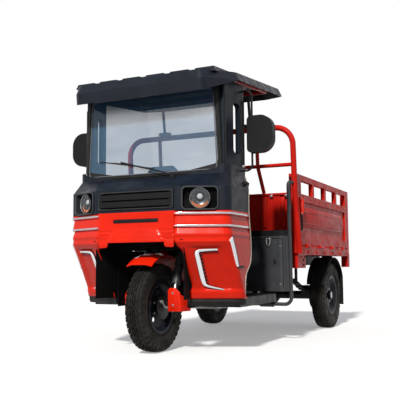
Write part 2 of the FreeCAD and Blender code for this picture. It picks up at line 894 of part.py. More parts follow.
def frame():
    rear_end = "bed_start + bed_length - post_side"
    rail = block("rail", ("rail_half_spacing - rail_width / 2", "rail_half_spacing + rail_width / 2"),
                 ("rail_start", rear_end), ("rail_top - rail_height", "rail_top"))
    floor_rail = block("floor_rail", ("rail_half_spacing - rail_width / 2", "rail_half_spacing + rail_width / 2"),
                       ("floor_rail_start", "rail_start + floor_rail"),
                       ("floor_top - floor_sheet - floor_rail", "floor_top - floor_sheet"))
    riser = block("frame_riser", ("rail_half_spacing - rail_width / 2", "rail_half_spacing + rail_width / 2"),
                  ("rail_start", "rail_start + floor_rail"), ("floor_top - floor_sheet - floor_rail", "rail_top"))
    upright = block("cab_upright", ("cab_upright_side", "cab_upright_side + cab_upright"),
                    ("cab_upright_back", "cab_upright_back + cab_upright"), ("floor_top", "cowl_top"))
    guard_foot = block("guard_foot", ("rail_half_spacing - rail_width / 2", "rail_half_spacing + rail_width / 2"),
                       ("side_guard_back - side_guard_radius", "rail_start"),
                       ("side_guard_foot - side_guard_radius", "floor_top - floor_sheet - floor_rail"))
    knee = ("neck_side", "neck_back", "neck_knee")
    foot = ("neck_side", "neck_back", "floor_top - floor_sheet - floor_rail / 2")
    head_low = leaned_spot("0", "fork_offset", "lower_clamp + clamp_thickness + head_gap")
    head_high = leaned_spot("0", "fork_offset", "upper_clamp - head_gap")
    neck_start = (head_low + head_high) / 2
    neck = shaped("neck_tube", tube_shape([neck_start, spot(*knee), spot(*foot)], number("neck_radius"),
                                          number("neck_bend")))
    pieces = [rail, floor_rail, riser, upright, guard_foot, neck] + spring_hangers()
    pieces += [mirrored(piece.Name + "_right", piece) for piece in pieces]
    across = ("-rail_half_spacing + rail_width / 2", "rail_half_spacing - rail_width / 2")
    count = int(number("bed_cross_members"))
    for index in range(count):
        start = f"rail_start + ({rear_end} - cross_member - rail_start) * {index} / {count - 1}"
        pieces.append(block("frame_cross", across, (start, f"{start} + cross_member"),
                            ("rail_top - rail_height", "rail_top - rail_height / 2")))
    pieces.append(block("floor_cross", across, ("neck_back - cross_member / 2", "neck_back + cross_member / 2"),
                        ("floor_top - floor_sheet - floor_rail", "floor_top - floor_sheet")))
    pieces.append(block("dash_rail", ("-cab_upright_side", "cab_upright_side"),
                        ("cab_upright_back", "cab_upright_back + cab_upright"),
                        ("dash_top - cab_upright", "dash_top")))
    along = head_high - head_low
    turn = FreeCAD.Rotation(FreeCAD.Vector(0, 0, 1), along)
    head = doc.addObject("Part::Cylinder", "head_tube")
    bore = doc.addObject("Part::Cylinder", "head_bore")
    bind(head, Radius="head_radius", Height="upper_clamp - lower_clamp - clamp_thickness - 2 * head_gap")
    bind(bore, Radius="stem_radius + stem_gap", Height="upper_clamp - lower_clamp")
    head.Placement = FreeCAD.Placement(head_low, turn)
    bore.Placement = FreeCAD.Placement(leaned_spot("0", "fork_offset", "lower_clamp"), turn)
    return cut("frame", join("frame_solid", head, *pieces), bore)


def floor_pan():
    """A folded tray under the driver's feet, cut away round the wheel housing and the engine."""
    owner = body("floor_tray")
    bottom = "floor_top - floor_depth"
    notch = "seat_box_half_width - seat_box_wall"

    def plan(offset, inset):
        side = f"floor_half_width - {inset}"
        arch = f"arch_half_width + arch_wall + {inset}"
        return outline(sketch_on(owner, "XY_Plane", offset), [
            (f"-({side})", f"floor_start + {inset}"),
            (f"-({arch})", f"floor_start + {inset}"),
            (f"-({arch})", f"arch_back + arch_wall + {inset}"),
            (arch, f"arch_back + arch_wall + {inset}"),
            (arch, f"floor_start + {inset}"),
            (side, f"floor_start + {inset}"),
            (side, "cover_front"),
            (f"{notch} + {inset}", "cover_front"),
            (f"{notch} + {inset}", f"seat_box_front + seat_box_wall - {inset}"),
            (f"-({notch} + {inset})", f"seat_box_front + seat_box_wall - {inset}"),
            (f"-({notch} + {inset})", "cover_front"),
            (f"-({side})", "cover_front"),
        ])

    pad(owner, plan(bottom, "0"), "floor_depth")
    pocket(owner, plan(bottom, "floor_sheet"), "floor_depth - floor_sheet", reverse=True)
    hole = rod("neck_hole", ("neck_side", "neck_back", bottom), ("neck_side", "neck_back", "floor_top + floor_sheet"),
               "neck_radius + seat_gap")
    return cut("floor_pan", owner, hole, mirrored("neck_hole_right", hole))


def wheel_housing():
    """The liner behind and beside the front wheel."""
    owner = body("wheel_housing")
    plan = sketch_on(owner, "XY_Plane", "floor_top - floor_depth")
    outer = "arch_half_width + arch_wall"
    outline(plan, [
        (f"-({outer})", "arch_front"),
        ("-arch_half_width", "arch_front"),
        ("-arch_half_width", "arch_back"),
        ("arch_half_width", "arch_back"),
        ("arch_half_width", "arch_front"),
        (outer, "arch_front"),
        (outer, "arch_back + arch_wall"),
        (f"-({outer})", "arch_back + arch_wall"),
    ])
    pad(owner, plan, "arch_top - floor_top + floor_depth")
    return owner


# Fascia and cowl

def wrap_section(owner, height, front, half_flat, corner_back, half_width, rear, wall):
    """A wall that runs from the flat front round one corner and back along the left side."""
    return outline(sketch_on(owner, "XY_Plane", height), [
        (half_flat, front),
        (half_width, corner_back, "fascia_corner_radius"),
        (half_width, rear),
        (f"{half_width} - {wall}", rear),
        (f"{half_width} - {wall}", f"{corner_back} + {wall} / 2", f"fascia_corner_radius - {wall}"),
        (half_flat, f"{front} + {wall}"),
    ])


# How far the corners slip back at each level, and where their side ends
FASCIA_LEVELS = [
    ("fascia_top", "0", "fascia_rear"),
    ("fascia_arch_top", "0", "fascia_rear_waist"),
    ("fascia_knee", "fascia_knee_slip", "fascia_rear_waist"),
    ("fascia_skirt", "fascia_undercut", "fascia_skirt_rear"),
    ("fascia_bottom", "fascia_bottom_slip", "fascia_skirt_rear"),
]


def corner_panel():
    owner = body("corner_panel")
    sections = [wrap_section(owner, height, f"-fascia_front + {slip}", "fascia_half_flat",
                             f"-fascia_corner_back + {slip}", "fascia_half_width", rear, "fascia_wall")
                for height, slip, rear in FASCIA_LEVELS]
    loft(owner, sections)
    return owner


def lamp_skin(name):
    """A thin skin that lies on the corner panel, from which its lamps are cut."""
    owner = body(name)
    levels = [("side_lamp_top", "0", "fascia_rear")] + FASCIA_LEVELS[1:-1]
    proud = "running_lamp_proud"
    loft(owner, [wrap_section(owner, height, f"-fascia_front - {proud} + {slip}", "fascia_half_flat",
                              f"-fascia_corner_back - {proud} / 2 + {slip}", f"fascia_half_width + {proud}",
                              rear, proud)
                 for height, slip, rear in levels])
    return owner


def bracket_lamp():
    """A slim lamp bent round like a bracket, open to the outside."""
    owner = body("bracket_lamp_form")
    inside = "running_lamp_inner + running_lamp_bar"
    face = sketch_on(owner, "XZ_Plane", "-fascia_front")
    outline(face, [
        ("running_lamp_inner", "running_lamp_bottom + running_lamp_drop", "running_lamp_corner"),
        ("running_lamp_low_outer", "running_lamp_bottom"),
        ("running_lamp_low_outer", "running_lamp_bottom + running_lamp_arm / 2"),
        (inside, "running_lamp_bottom + running_lamp_drop + running_lamp_arm / 2"),
        (inside, "running_lamp_top - running_lamp_arm"),
        ("running_lamp_outer", "running_lamp_top - running_lamp_arm"),
        ("running_lamp_outer", "running_lamp_top"),
        ("running_lamp_inner", "running_lamp_top", "running_lamp_corner"),
    ])
    pad(owner, face, "3 * fascia_front")
    return overlap("bracket_lamp", lamp_skin("bracket_lamp_skin"), owner)


def side_lamp():
    """A slanting lamp on the panel's side, with a foot that runs back along it."""
    owner = body("side_lamp_form")
    face = sketch_on(owner, "YZ_Plane", "side_lamp_inner")
    outline(face, [
        ("-side_lamp_lead", "side_lamp_top"),
        ("-side_lamp_tip", "side_lamp_bottom"),
        ("side_lamp_rear", "side_lamp_bottom"),
        ("side_lamp_rear", "side_lamp_bottom + side_lamp_foot"),
        ("side_lamp_foot / 2", "side_lamp_bottom + side_lamp_foot"),
        ("-side_lamp_lead + side_lamp_width - side_lamp_flare", "side_lamp_top - side_lamp_flare"),
        ("-side_lamp_lead + side_lamp_width", "side_lamp_top"),
    ])
    pad(owner, face, "fascia_half_width")
    return overlap("side_lamp", lamp_skin("side_lamp_skin"), owner)


def front_panel():
    """The centre of the fascia, with a proud bulge above the wheel arch."""
    plate = block("front_plate", ("-fascia_half_flat", "fascia_half_flat"),
                  ("-fascia_front", "-fascia_front + fascia_wall"), ("fascia_arch_top", "fascia_top"))
    bulge = body("front_bulge")
    face = sketch_on(bulge, "XZ_Plane", "fascia_front")
    outline(face, [
        ("-bulge_half_bottom", "fascia_arch_top"),
        ("bulge_half_bottom", "fascia_arch_top"),
        ("bulge_half_top", "fascia_arch_top + bulge_height"),
        ("-bulge_half_top", "fascia_arch_top + bulge_height"),
    ])
    pad(bulge, face, "bulge_proud")
    strip = block("name_strip", ("-name_strip_half", "name_strip_half"),
                  ("-fascia_front - fascia_wall", "-fascia_front + name_strip_depth"),
                  ("name_strip_bottom", "name_strip_bottom + name_strip_height"))
    return cut("front_panel", join("front_panel_solid", plate, bulge), strip)


def ring_section(owner, height, front, half_flat, corner_back, half_width, rear, wall):
    """A wall round the whole front of the cab, open to the rear."""
    inner = f"{half_width} - {wall}"
    left = [
        (half_flat, front),
        (half_width, corner_back, "fascia_corner_radius"),
        (half_width, rear),
        (inner, rear),
        (inner, f"{corner_back} + {wall} / 2", f"fascia_corner_radius - {wall}"),
        (half_flat, f"{front} + {wall}"),
    ]
    outer_right = [("-(" + corner[0] + ")", *corner[1:]) for corner in left]
    return outline(sketch_on(owner, "XY_Plane", height), left + outer_right[::-1])


def cowl():
    owner = body("cowl_shell")
    sections = [
        ring_section(owner, "fascia_top", "-fascia_front", "grille_half_width", "-fascia_corner_back",
                     "fascia_half_width", "fascia_rear", "fascia_wall"),
        ring_section(owner, "cowl_waist", "-fascia_front", "grille_half_width", "-fascia_corner_back",
                     "fascia_half_width", "fascia_rear", "fascia_wall"),
        ring_section(owner, "cowl_deck", "-cowl_top_front", "cowl_top_half_flat", "-cowl_top_corner_back",
                     "cowl_top_half_width", "cowl_top_rear", "fascia_wall"),
        ring_section(owner, "cowl_top", "-cowl_top_front", "cowl_top_half_flat", "-cowl_top_corner_back",
                     "cowl_top_half_width", "cowl_top_rear", "fascia_wall"),
    ]
    loft(owner, sections)
    sight = glass_outline(owner, "fascia_front", "seal_width + seat_gap")
    pocket(owner, sight, "fascia_front - glass_front + seal_thickness")
    window = block("grille_window", ("-grille_half_width + grille_slot_side", "grille_half_width - grille_slot_side"),
                   ("-fascia_front - fascia_wall", "-fascia_front + 2 * fascia_wall"),
                   ("grille_bottom + grille_slot_height", "grille_top - grille_slot_height"))
    mouths = []
    cups = []
    for side in (1, -1):
        mouth = lamp_prism("lamp_mouth", side, "lamp_cup_wall", "lamp_cup_depth - lamp_cup_wall",
                           "2 * lamp_cup_depth")
        shell = lamp_prism("lamp_cup_outside", side, "0", "lamp_cup_depth", "lamp_cup_depth + lamp_cup_proud")
        seat = lamp_drum("lamp_seat", side, "lamp_radius + lamp_gap", "-2 * lamp_cup_depth", "2 * lamp_cup_depth")
        mouths.append(mouth)
        cups.append(cut("lamp_cup", shell, mouth, seat))
    return join("cowl", cut("cowl_opened", owner, window, *mouths), *cups)


def lamp_prism(name, side, inset, depth, length):
    """A prism with round corners along a headlamp's own axis, from the given depth outward."""
    owner = body(name)
    half_width = f"lamp_cup_half_width - {inset}"
    half_height = f"lamp_cup_half_height - {inset}"
    corner = f"lamp_cup_corner - {inset}"
    face = sketch_on(owner, "XZ_Plane", f"-({depth})")
    outline(face, [
        (f"-({half_width})", f"-({half_height})", corner),
        (half_width, f"-({half_height})", corner),
        (half_width, half_height, corner),
        (f"-({half_width})", half_height, corner),
    ])
    pad(owner, face, length)
    owner.Placement.Rotation = FreeCAD.Rotation(FreeCAD.Vector(0, 0, side), number("lamp_turn"))
    owner.setExpression("Placement.Rotation.Angle", cells("lamp_turn"))
    place(owner, f"lamp_side * ({side})", "-lamp_forward", "lamp_height")
    return owner


def lamp_drum(name, side, radius, start, length):
    """A cylinder along a headlamp's own axis, which turns outward with the cowl."""
    turn = math.radians(number("lamp_turn")) * side
    outward = FreeCAD.Vector(math.sin(turn), -math.cos(turn), 0)
    centre = FreeCAD.Vector(number("lamp_side") * side, -number("lamp_forward"), number("lamp_height"))
    drum = doc.addObject("Part::Cylinder", name)
    bind(drum, Radius=radius, Height=length)
    drum.Placement = FreeCAD.Placement(centre + outward * number(start),
                                       FreeCAD.Rotation(FreeCAD.Vector(0, 0, 1), outward))
    return drum


def grille():
    """A slotted panel let into the cowl."""
    owner = body("grille")
    face = sketch_on(owner, "XZ_Plane", "fascia_front - fascia_wall / 2")
    outline(face, [
        ("-grille_half_width + grille_slot_side", "grille_bottom + grille_slot_height"),
        ("grille_half_width - grille_slot_side", "grille_bottom + grille_slot_height"),
        ("grille_half_width - grille_slot_side", "grille_top - grille_slot_height"),
        ("-grille_half_width + grille_slot_side", "grille_top - grille_slot_height"),
    ])
    pad(owner, face, "grille_thickness")
    pitch = "(grille_top - grille_bottom) / grille_slots"
    slot_side = "grille_half_width - 2 * grille_slot_side"
    slot_low = f"grille_bottom + {pitch} / 2 - grille_slot_height / 2"
    mouth = outline(sketch_on(owner, "XZ_Plane", "fascia_front - fascia_wall / 2 + grille_thickness"), [
        (f"-({slot_side})", slot_low),
        (slot_side, slot_low),
        (slot_side, f"{slot_low} + grille_slot_height"),
        (f"-({slot_side})", f"{slot_low} + grille_slot_height"),
    ])
    slot = pocket(owner, mouth, "2 * grille_thickness")
    row = owner.newObject("PartDesign::LinearPattern", "grille_slot_row")
    row.Originals = [slot]
    z_axis = next(line for line in owner.Origin.OriginFeatures if line.Role == "Z_Axis")
    row.Direction = (z_axis, [""])
    bind(row, Length=f"{pitch} * (grille_slots - 1)", Occurrences="grille_slots")
    owner.Tip = row
    return owner


def headlamp():
    """A round lamp with a domed front, seated in the bottom of its cup."""
    barrel = lamp_drum("lamp_barrel", 1, "lamp_radius", "-lamp_depth - lamp_sink", "lamp_depth")
    dome = doc.addObject("Part::Sphere", "lamp_dome")
    dome_radius = "(lamp_radius * lamp_radius + lens_bulge * lens_bulge) / (2 * lens_bulge)"
    bind(dome, Radius=dome_radius)
    barrel_axis = barrel.Placement.Rotation.multVec(FreeCAD.Vector(0, 0, 1))
    front = barrel.Placement.Base + barrel_axis * number("lamp_depth")
    dome.Placement.Base = front - barrel_axis * number(f"{dome_radius} - lens_bulge")
    cap = lamp_drum("lamp_cap", 1, "lamp_radius", "-lamp_sink", "2 * lens_bulge")
    return join("headlamp", barrel, overlap("lamp_lens", cap, dome))


def trim_strip(name, level):
    """A bright strip that wraps one corner of the fascia."""
    owner = body(name)
    sections = [wrap_section(owner, height, "-fascia_front - strip_proud", "fascia_half_flat",
                             "-fascia_corner_back - strip_proud / 2", "fascia_half_width + strip_proud",
                             "fascia_rear", "strip_proud")
                for height in (level, f"{level} + strip_height")]
    loft(owner, sections)
    return owner


def fascia():
    finish("corner_panels", both_sides("corner_panel_pair", corner_panel()))
    finish("front_panel", front_panel())
    finish("cowl", cowl())
    finish("grille", grille())
    finish("headlamps", both_sides("headlamp_pair", headlamp()))
    finish("running_lamps", both_sides("running_lamp_pair",
                                       doc_pair("running_lamps_left", bracket_lamp(), side_lamp())))
    finish("trim_strips", both_sides("trim_strip_pair",
                                     doc_pair("strips_left", trim_strip("upper_trim", "upper_strip"),
                                              trim_strip("lower_trim", "lower_strip"))))


def doc_pair(name, *pieces):
    group = doc.addObject("Part::Compound", name)
    group.Links = list(pieces)
    return group


# Cab

def pillar():
    """The side frame between the windscreen and the doorway, with a narrow quarter window."""
    owner = body("cab_pillar")
    plan = sketch_on(owner, "XY_Plane", "cowl_top")
    outline(plan, [
        ("pillar_front_side", "-pillar_front"),
        ("pillar_front_side + pillar_wall", "-pillar_front", "pillar_corner"),
        ("pillar_rear_side", "pillar_rear", "pillar_corner"),
        ("pillar_rear_side - pillar_wall", "pillar_rear"),
        ("pillar_front_side", "-pillar_front + pillar_wall"),
    ])
    pad(owner, plan, "pillar_top - cowl_top")
    window = sketch_on(owner, "YZ_Plane", "pillar_front_side - pillar_wall")
    outline(window, [
        ("slot_front", "slot_bottom", "slot_corner"),
        ("slot_rear", "slot_bottom", "slot_corner"),
        ("slot_rear", "slot_top", "slot_corner"),
        ("slot_front", "slot_top", "slot_corner"),
    ])
    pocket(owner, window, "4 * pillar_wall", reverse=True)
    return owner


def glass_outline(owner, offset, grow):
    """The windscreen's outline; its bottom edge dips in the middle."""
    return outline(sketch_on(owner, "XZ_Plane", offset), [
        (f"-glass_half_bottom - {grow}", f"glass_bottom - {grow}", "slot_corner"),
        (f"-glass_half_bottom / 2", f"glass_bottom - glass_dip - {grow}"),
        (f"glass_half_bottom / 2", f"glass_bottom - glass_dip - {grow}"),
        (f"glass_half_bottom + {grow}", f"glass_bottom - {grow}", "slot_corner"),
        (f"glass_half_top + {grow}", f"glass_top + {grow}", "slot_corner"),
        (f"-glass_half_top - {grow}", f"glass_top + {grow}", "slot_corner"),
    ])


def windscreen():
    owner = body("windscreen")
    pad(owner, glass_outline(owner, "glass_front", "0"), "glass_thickness", reverse=True)
    return owner


def windscreen_seal():
    owner = body("windscreen_seal")
    pad(owner, glass_outline(owner, "glass_front", "seal_width"), "seal_thickness", reverse=True)
    pocket(owner, glass_outline(owner, "glass_front", "0"), "2 * seal_thickness")
    return owner


def roof_plan(owner, offset, inset):
    side = f"roof_half_width - ({inset})"
    flat = f"roof_half_flat - ({inset}) / 2"
    rear = f"roof_rear_half - ({inset}) / 2"
    return outline(sketch_on(owner, "XY_Plane", offset), [
        (f"-({flat})", f"-roof_front + ({inset})", "roof_corner_radius"),
        (flat, f"-roof_front + ({inset})", "roof_corner_radius"),
        (side, f"roof_corner_back + ({inset}) / 2", "roof_corner_radius"),
        (side, "roof_rear", "roof_corner_radius"),
        (rear, f"roof_rear_back - ({inset})", "roof_corner_radius"),
        (f"-({rear})", f"roof_rear_back - ({inset})", "roof_corner_radius"),
        (f"-({side})", "roof_rear", "roof_corner_radius"),
        (f"-({side})", f"roof_corner_back + ({inset}) / 2", "roof_corner_radius"),
    ])


def roof():
    """A moulded cap, hollow beneath, with raised panels along its top."""
    owner = body("roof_cap")
    loft(owner, [roof_plan(owner, "0", "0"), roof_plan(owner, "roof_depth", "roof_edge_round")])
    hollow = owner.newObject("PartDesign::SubtractiveLoft", "roof_hollow")
    hollow.Profile = roof_plan(owner, "0", "roof_wall")
    hollow.Sections = [roof_plan(owner, "roof_depth - roof_wall", "roof_wall + roof_edge_round")]
    hollow.Ruled = True
    owner.Tip = hollow
    pieces = [owner, visor()]
    count = int(number("rib_count"))
    for index in range(count):
        centre = f"rib_pitch * ({index} - {(count - 1) / 2})"
        rib = body(f"roof_rib_{index + 1}")
        levels = (("roof_depth - roof_wall", "0"), ("roof_depth + rib_height", "rib_taper"))
        loft(rib, [outline(sketch_on(rib, "XY_Plane", height), [
            (f"{centre} - rib_width / 2 + {inset}", f"-rib_front + {inset}"),
            (f"{centre} + rib_width / 2 - {inset}", f"-rib_front + {inset}"),
            (f"{centre} + rib_width / 2 - {inset}", f"rib_rear - {inset}"),
            (f"{centre} - rib_width / 2 + {inset}", f"rib_rear - {inset}"),
        ]) for height, inset in levels])
        pieces.append(rib)
    return join("roof", *pieces)


def visor():
    """The deep front edge, which rises along both chamfered corners."""
    owner = body("roof_visor")
    pad(owner, roof_plan(owner, "0", "0"), "visor_drop", reverse=True)
    pocket(owner, roof_plan(owner, "-visor_drop", "visor_wall"), "visor_drop", reverse=True)
    slope = sketch_on(owner, "YZ_Plane", "-roof_half_width")
    outline(slope, [
        ("-roof_front + visor_wall", "-2 * visor_drop"),
        ("-roof_front + visor_wall", "-visor_drop"),
        ("roof_corner_back", "0"),
        ("roof_rear_back + visor_wall", "0"),
        ("roof_rear_back + visor_wall", "-2 * visor_drop"),
    ])
    pocket(owner, slope, "2 * roof_half_width", reverse=True)
    return owner


def tilt_roof(thing):
    """Leans the roof up to the rear; its edge is at its stated height above the front overhang."""
    thing.Placement.Rotation = FreeCAD.Rotation(FreeCAD.Vector(1, 0, 0), number("roof_tilt"))
    thing.setExpression("Placement.Rotation.Angle", cells("roof_tilt"))
    place(thing, "0", HALFWAY, "roof_edge + roof_front * tan(roof_tilt)")


def roof_frame():
    """Tubes under the roof, and the stays from its rear down to the hoop behind the seat."""
    side = "roof_tube_side"
    tilt = math.radians(number("roof_tilt"))

    def under_ceiling(y):
        ceiling = (y + number("roof_front")) * math.tan(tilt) + number("roof_depth - roof_wall") / math.cos(tilt)
        return number("roof_edge") + ceiling - number("roof_tube + seat_gap") / math.cos(tilt)

    tube = doc.addObject("Part::Cylinder", "roof_tube_left")
    start = FreeCAD.Vector(number(side), 0, under_ceiling(0))
    end = FreeCAD.Vector(number(side), number("roof_tube_rear"), under_ceiling(number("roof_tube_rear")))
    bind(tube, Radius="roof_tube")
    tube.Height = (end - start).Length
    tube.Placement = FreeCAD.Placement(start, FreeCAD.Rotation(FreeCAD.Vector(0, 0, 1), end - start))
    pieces = [tube, mirrored("roof_tube_right", tube)]
    for place_y in (start.y, (start.y + end.y) / 2, end.y):
        place_z = under_ceiling(place_y)
        cross = doc.addObject("Part::Cylinder", "roof_cross")
        bind(cross, Radius="roof_tube", Height="2 * roof_tube_side")
        cross.Placement = FreeCAD.Placement(FreeCAD.Vector(-number(side), place_y, place_z),
                                            FreeCAD.Rotation(FreeCAD.Vector(0, 0, 1), FreeCAD.Vector(1, 0, 0)))
        pieces.append(cross)
    top = FreeCAD.Vector(number("stay_side"), end.y, end.z)
    hoop_y = "bed_start - hoop_radius - seat_gap - hoop_lead - hoop_top_lead"
    foot = spot("stay_side", hoop_y, "hoop_top + hoop_radius + stay_bracket_height / 2")
    stay = doc.addObject("Part::Cylinder", "roof_stay")
    bind(stay, Radius="stay_radius")
    stay.Height = (foot - top).Length
    stay.Placement = FreeCAD.Placement(top, FreeCAD.Rotation(FreeCAD.Vector(0, 0, 1), foot - top))
    bracket = block("stay_foot", ("stay_side - stay_bracket / 2", "stay_side + stay_bracket / 2"),
                    (f"{hoop_y} - hoop_radius", f"{hoop_y} + hoop_radius"),
                    ("hoop_top + hoop_radius + seat_gap", "hoop_top + hoop_radius + stay_bracket_height"))
    pieces += [stay, bracket, mirrored("roof_stay_right", stay), mirrored("stay_foot_right", bracket)]
    return join("roof_frame", *pieces)


def mirror():
    """A D-shaped mirror on a bent tube arm."""
    owner = body("mirror_shell")
    face = sketch_on(owner, "XZ_Plane", "-mirror_back - mirror_depth / 2")
    inner = "mirror_side - mirror_half_width"
    outer = "mirror_side + mirror_half_width"
    outline(face, [
        (inner, "mirror_height - mirror_half_height", "mirror_corner"),
        (outer, "mirror_height - mirror_half_height", "mirror_half_width"),
        (outer, "mirror_height + mirror_half_height", "mirror_half_width"),
        (inner, "mirror_height + mirror_half_height", "mirror_corner"),
    ])
    pad(owner, face, "mirror_depth")
    slant = "(pillar_rear_side - pillar_front_side - pillar_wall) / (pillar_front + pillar_rear)"
    along = "pillar_front + mirror_back + mirror_arm_radius"
    pillar_face = f"pillar_front_side + pillar_wall + seat_gap + {slant} * ({along})"
    arm = bent_tube("mirror_arm", [
        (pillar_face, "mirror_back", "mirror_arm_top"),
        ("mirror_arm_side", "mirror_back", "mirror_arm_top"),
        ("mirror_arm_side", "mirror_back", "mirror_arm_foot"),
        ("cowl_top_half_width + seat_gap", "mirror_back", "mirror_arm_foot"),
    ], "mirror_arm_radius", "mirror_arm_bend")
    return join("mirror", owner, arm)


def dashboard():
    return block("dashboard_block", ("-dash_half_width", "dash_half_width"), ("dash_front", "cab_upright_back"),
                 ("dash_bottom", "dash_top"))


def seat_box():
    """The hollow stand of the driver's seat, over the engine."""
    outer = block("seat_box_outer", ("-seat_box_half_width", "seat_box_half_width"),
                  ("seat_box_front", "cover_front"), ("floor_top", "seat_box_top"))
    inner = block("seat_box_inner", ("-seat_box_half_width + seat_box_wall", "seat_box_half_width - seat_box_wall"),
                  ("seat_box_front + seat_box_wall", "cover_front"), ("floor_top", "seat_box_top - seat_box_wall"))
    return cut("seat_box", outer, inner)


def side_cover():
    """The moulded cover beside the engine, with a round outer corner."""
    owner = body("side_cover")
    plan = sketch_on(owner, "XY_Plane", "cover_bottom")
    rear = "bed_start - 2 * hoop_radius - cover_wall"
    outline(plan, [
        ("seat_box_half_width", "cover_front"),
        ("cover_half_width", "cover_front", "cover_corner"),
        ("cover_half_width", rear),
        ("cover_half_width - cover_wall", rear),
        ("cover_half_width - cover_wall", "cover_front + cover_wall", "cover_corner - cover_wall"),
        ("seat_box_half_width", "cover_front + cover_wall"),
    ])
    pad(owner, plan, "cover_top - cover_bottom")
    return owner


def seat_shelf():
    """The flat top over the covers, behind and beside the driver's seat."""
    owner = body("seat_shelf")
    plan = sketch_on(owner, "XY_Plane", "cover_top")
    rear = "bed_start - 2 * hoop_radius - cover_wall"
    outline(plan, [
        ("-cover_half_width", "cover_front", "cover_corner"),
        ("cover_half_width", "cover_front", "cover_corner"),
        ("cover_half_width", rear),
        ("-cover_half_width", rear),
    ])
    pad(owner, plan, "shelf_top - cover_top")
    return owner


def seat_cushion():
    return block("seat_cushion", ("-seat_half_width", "seat_half_width"), ("seat_front", "cover_front - running_gap"),
                 ("seat_box_top + running_gap", "seat_box_top + seat_thickness"))


def seat_back():
    rear = "bed_start - 2 * hoop_radius - cover_wall"
    return block("seat_back", ("-seat_half_width", "seat_half_width"), (f"{rear} - seat_back_thickness", rear),
                 ("shelf_top + running_gap", "seat_back_top"))


def engine():
    """The engine as a plain block, on two arms that reach the frame's rails."""
    case = block("engine_case", ("-engine_half_width", "engine_half_width"), ("engine_front", "engine_back"),
                 ("engine_bottom", "engine_top"))
    reach = "rail_half_spacing - rail_width / 2"
    arms = block("engine_arms", (f"-({reach})", reach), ("rail_start", "rail_start + engine_arm"),
                 ("floor_top - floor_sheet - floor_rail", "floor_top - floor_sheet"))
    return join("engine_block", case, arms)


def silencer():
    """The exhaust's pipe, its can on two hangers, and the tail pipe."""
    side = "silencer_side"
    height = "silencer_height"
    outlet = "engine_back - exhaust_lead"
    pipe = bent_tube("exhaust_front", [
        ("engine_half_width", outlet, height),
        (side, outlet, height),
        (side, "silencer_start", height),
    ], "exhaust_pipe", "exhaust_bend")
    can = rod("silencer_can", (side, "silencer_start", height), (side, "silencer_end", height), "silencer_radius")
    tail = rod("exhaust_tail", (side, "silencer_end", height), (side, "silencer_end + tail_pipe", height),
               "exhaust_pipe")
    hangers = []
    for middle in ("silencer_start + silencer_inset", "silencer_end - silencer_inset"):
        hangers.append(block("silencer_hanger", (side, "rail_half_spacing + rail_width / 2"),
                             (f"{middle} - saddle_plate / 2", f"{middle} + saddle_plate / 2"),
                             ("silencer_height + silencer_radius / 2", "rail_top - rail_height")))
    return join("silencer", pipe, can, tail, *hangers)


def side_guard():
    """A bent tube beside the seat that turns back to the hoop's post at its top, with a flat pad behind it."""
    side = "side_guard_side"
    top_y = "side_guard_back - side_guard_lead"
    radius = number("side_guard_radius")
    middle = spot(side, "side_guard_back - side_guard_lead / 2", "(side_guard_foot + side_guard_top) / 2")
    top = spot(side, top_y, "side_guard_top")
    foot = spot(side, "side_guard_back", "side_guard_foot")
    rail = spot("rail_half_spacing + rail_width / 2", "side_guard_back", "side_guard_foot")
    rise = "(side_guard_top - hoop_bend_height) / (hoop_top - hoop_bend_height)"
    post = spot("hoop_half_width", f"bed_start - hoop_radius - seat_gap - hoop_lead - hoop_top_lead * {rise}",
                "side_guard_top")
    end = post - (post - top).normalize() * number("hoop_radius + side_guard_gap")
    lower = shaped("side_guard_lower", tube_shape([rail, foot, middle], radius, number("side_guard_bend")))
    upper = shaped("side_guard_upper", tube_shape([middle, top, end], radius, number("side_guard_top_bend")))
    flat = block("side_guard_flat", (f"{side} - side_guard_pad / 2", f"{side} + side_guard_pad / 2"),
                 (top_y, f"{top_y} + side_guard_pad_width"),
                 ("side_guard_top - side_guard_pad_length", "side_guard_top"))
    return join("side_guard", lower, upper, flat)


def cab():
    finish("cab_pillars", both_sides("cab_pillar_pair", pillar()))
    finish("windscreen", windscreen())
    finish("windscreen_seal", windscreen_seal())
    whole_roof = roof()
    finish("roof", whole_roof)
    tilt_roof(whole_roof)
    finish("roof_frame", roof_frame())
    finish("mirrors", both_sides("mirror_pair", mirror()))
    for label, piece in (("dashboard", dashboard()), ("seat_box", seat_box()), ("seat_shelf", seat_shelf()),
                         ("seat_cushion", seat_cushion()), ("seat_back", seat_back()), ("engine", engine()),
                         ("silencer", silencer()), ("side_covers", both_sides("side_cover_pair", side_cover())),
                         ("side_guards", both_sides("side_guard_pair", side_guard()))):
        finish(label, piece)


# Cargo bed

GATE_FRONT = "bed_start + post_side + gate_gap"
GATE_REAR = "bed_start + bed_length - post_side - gate_gap"


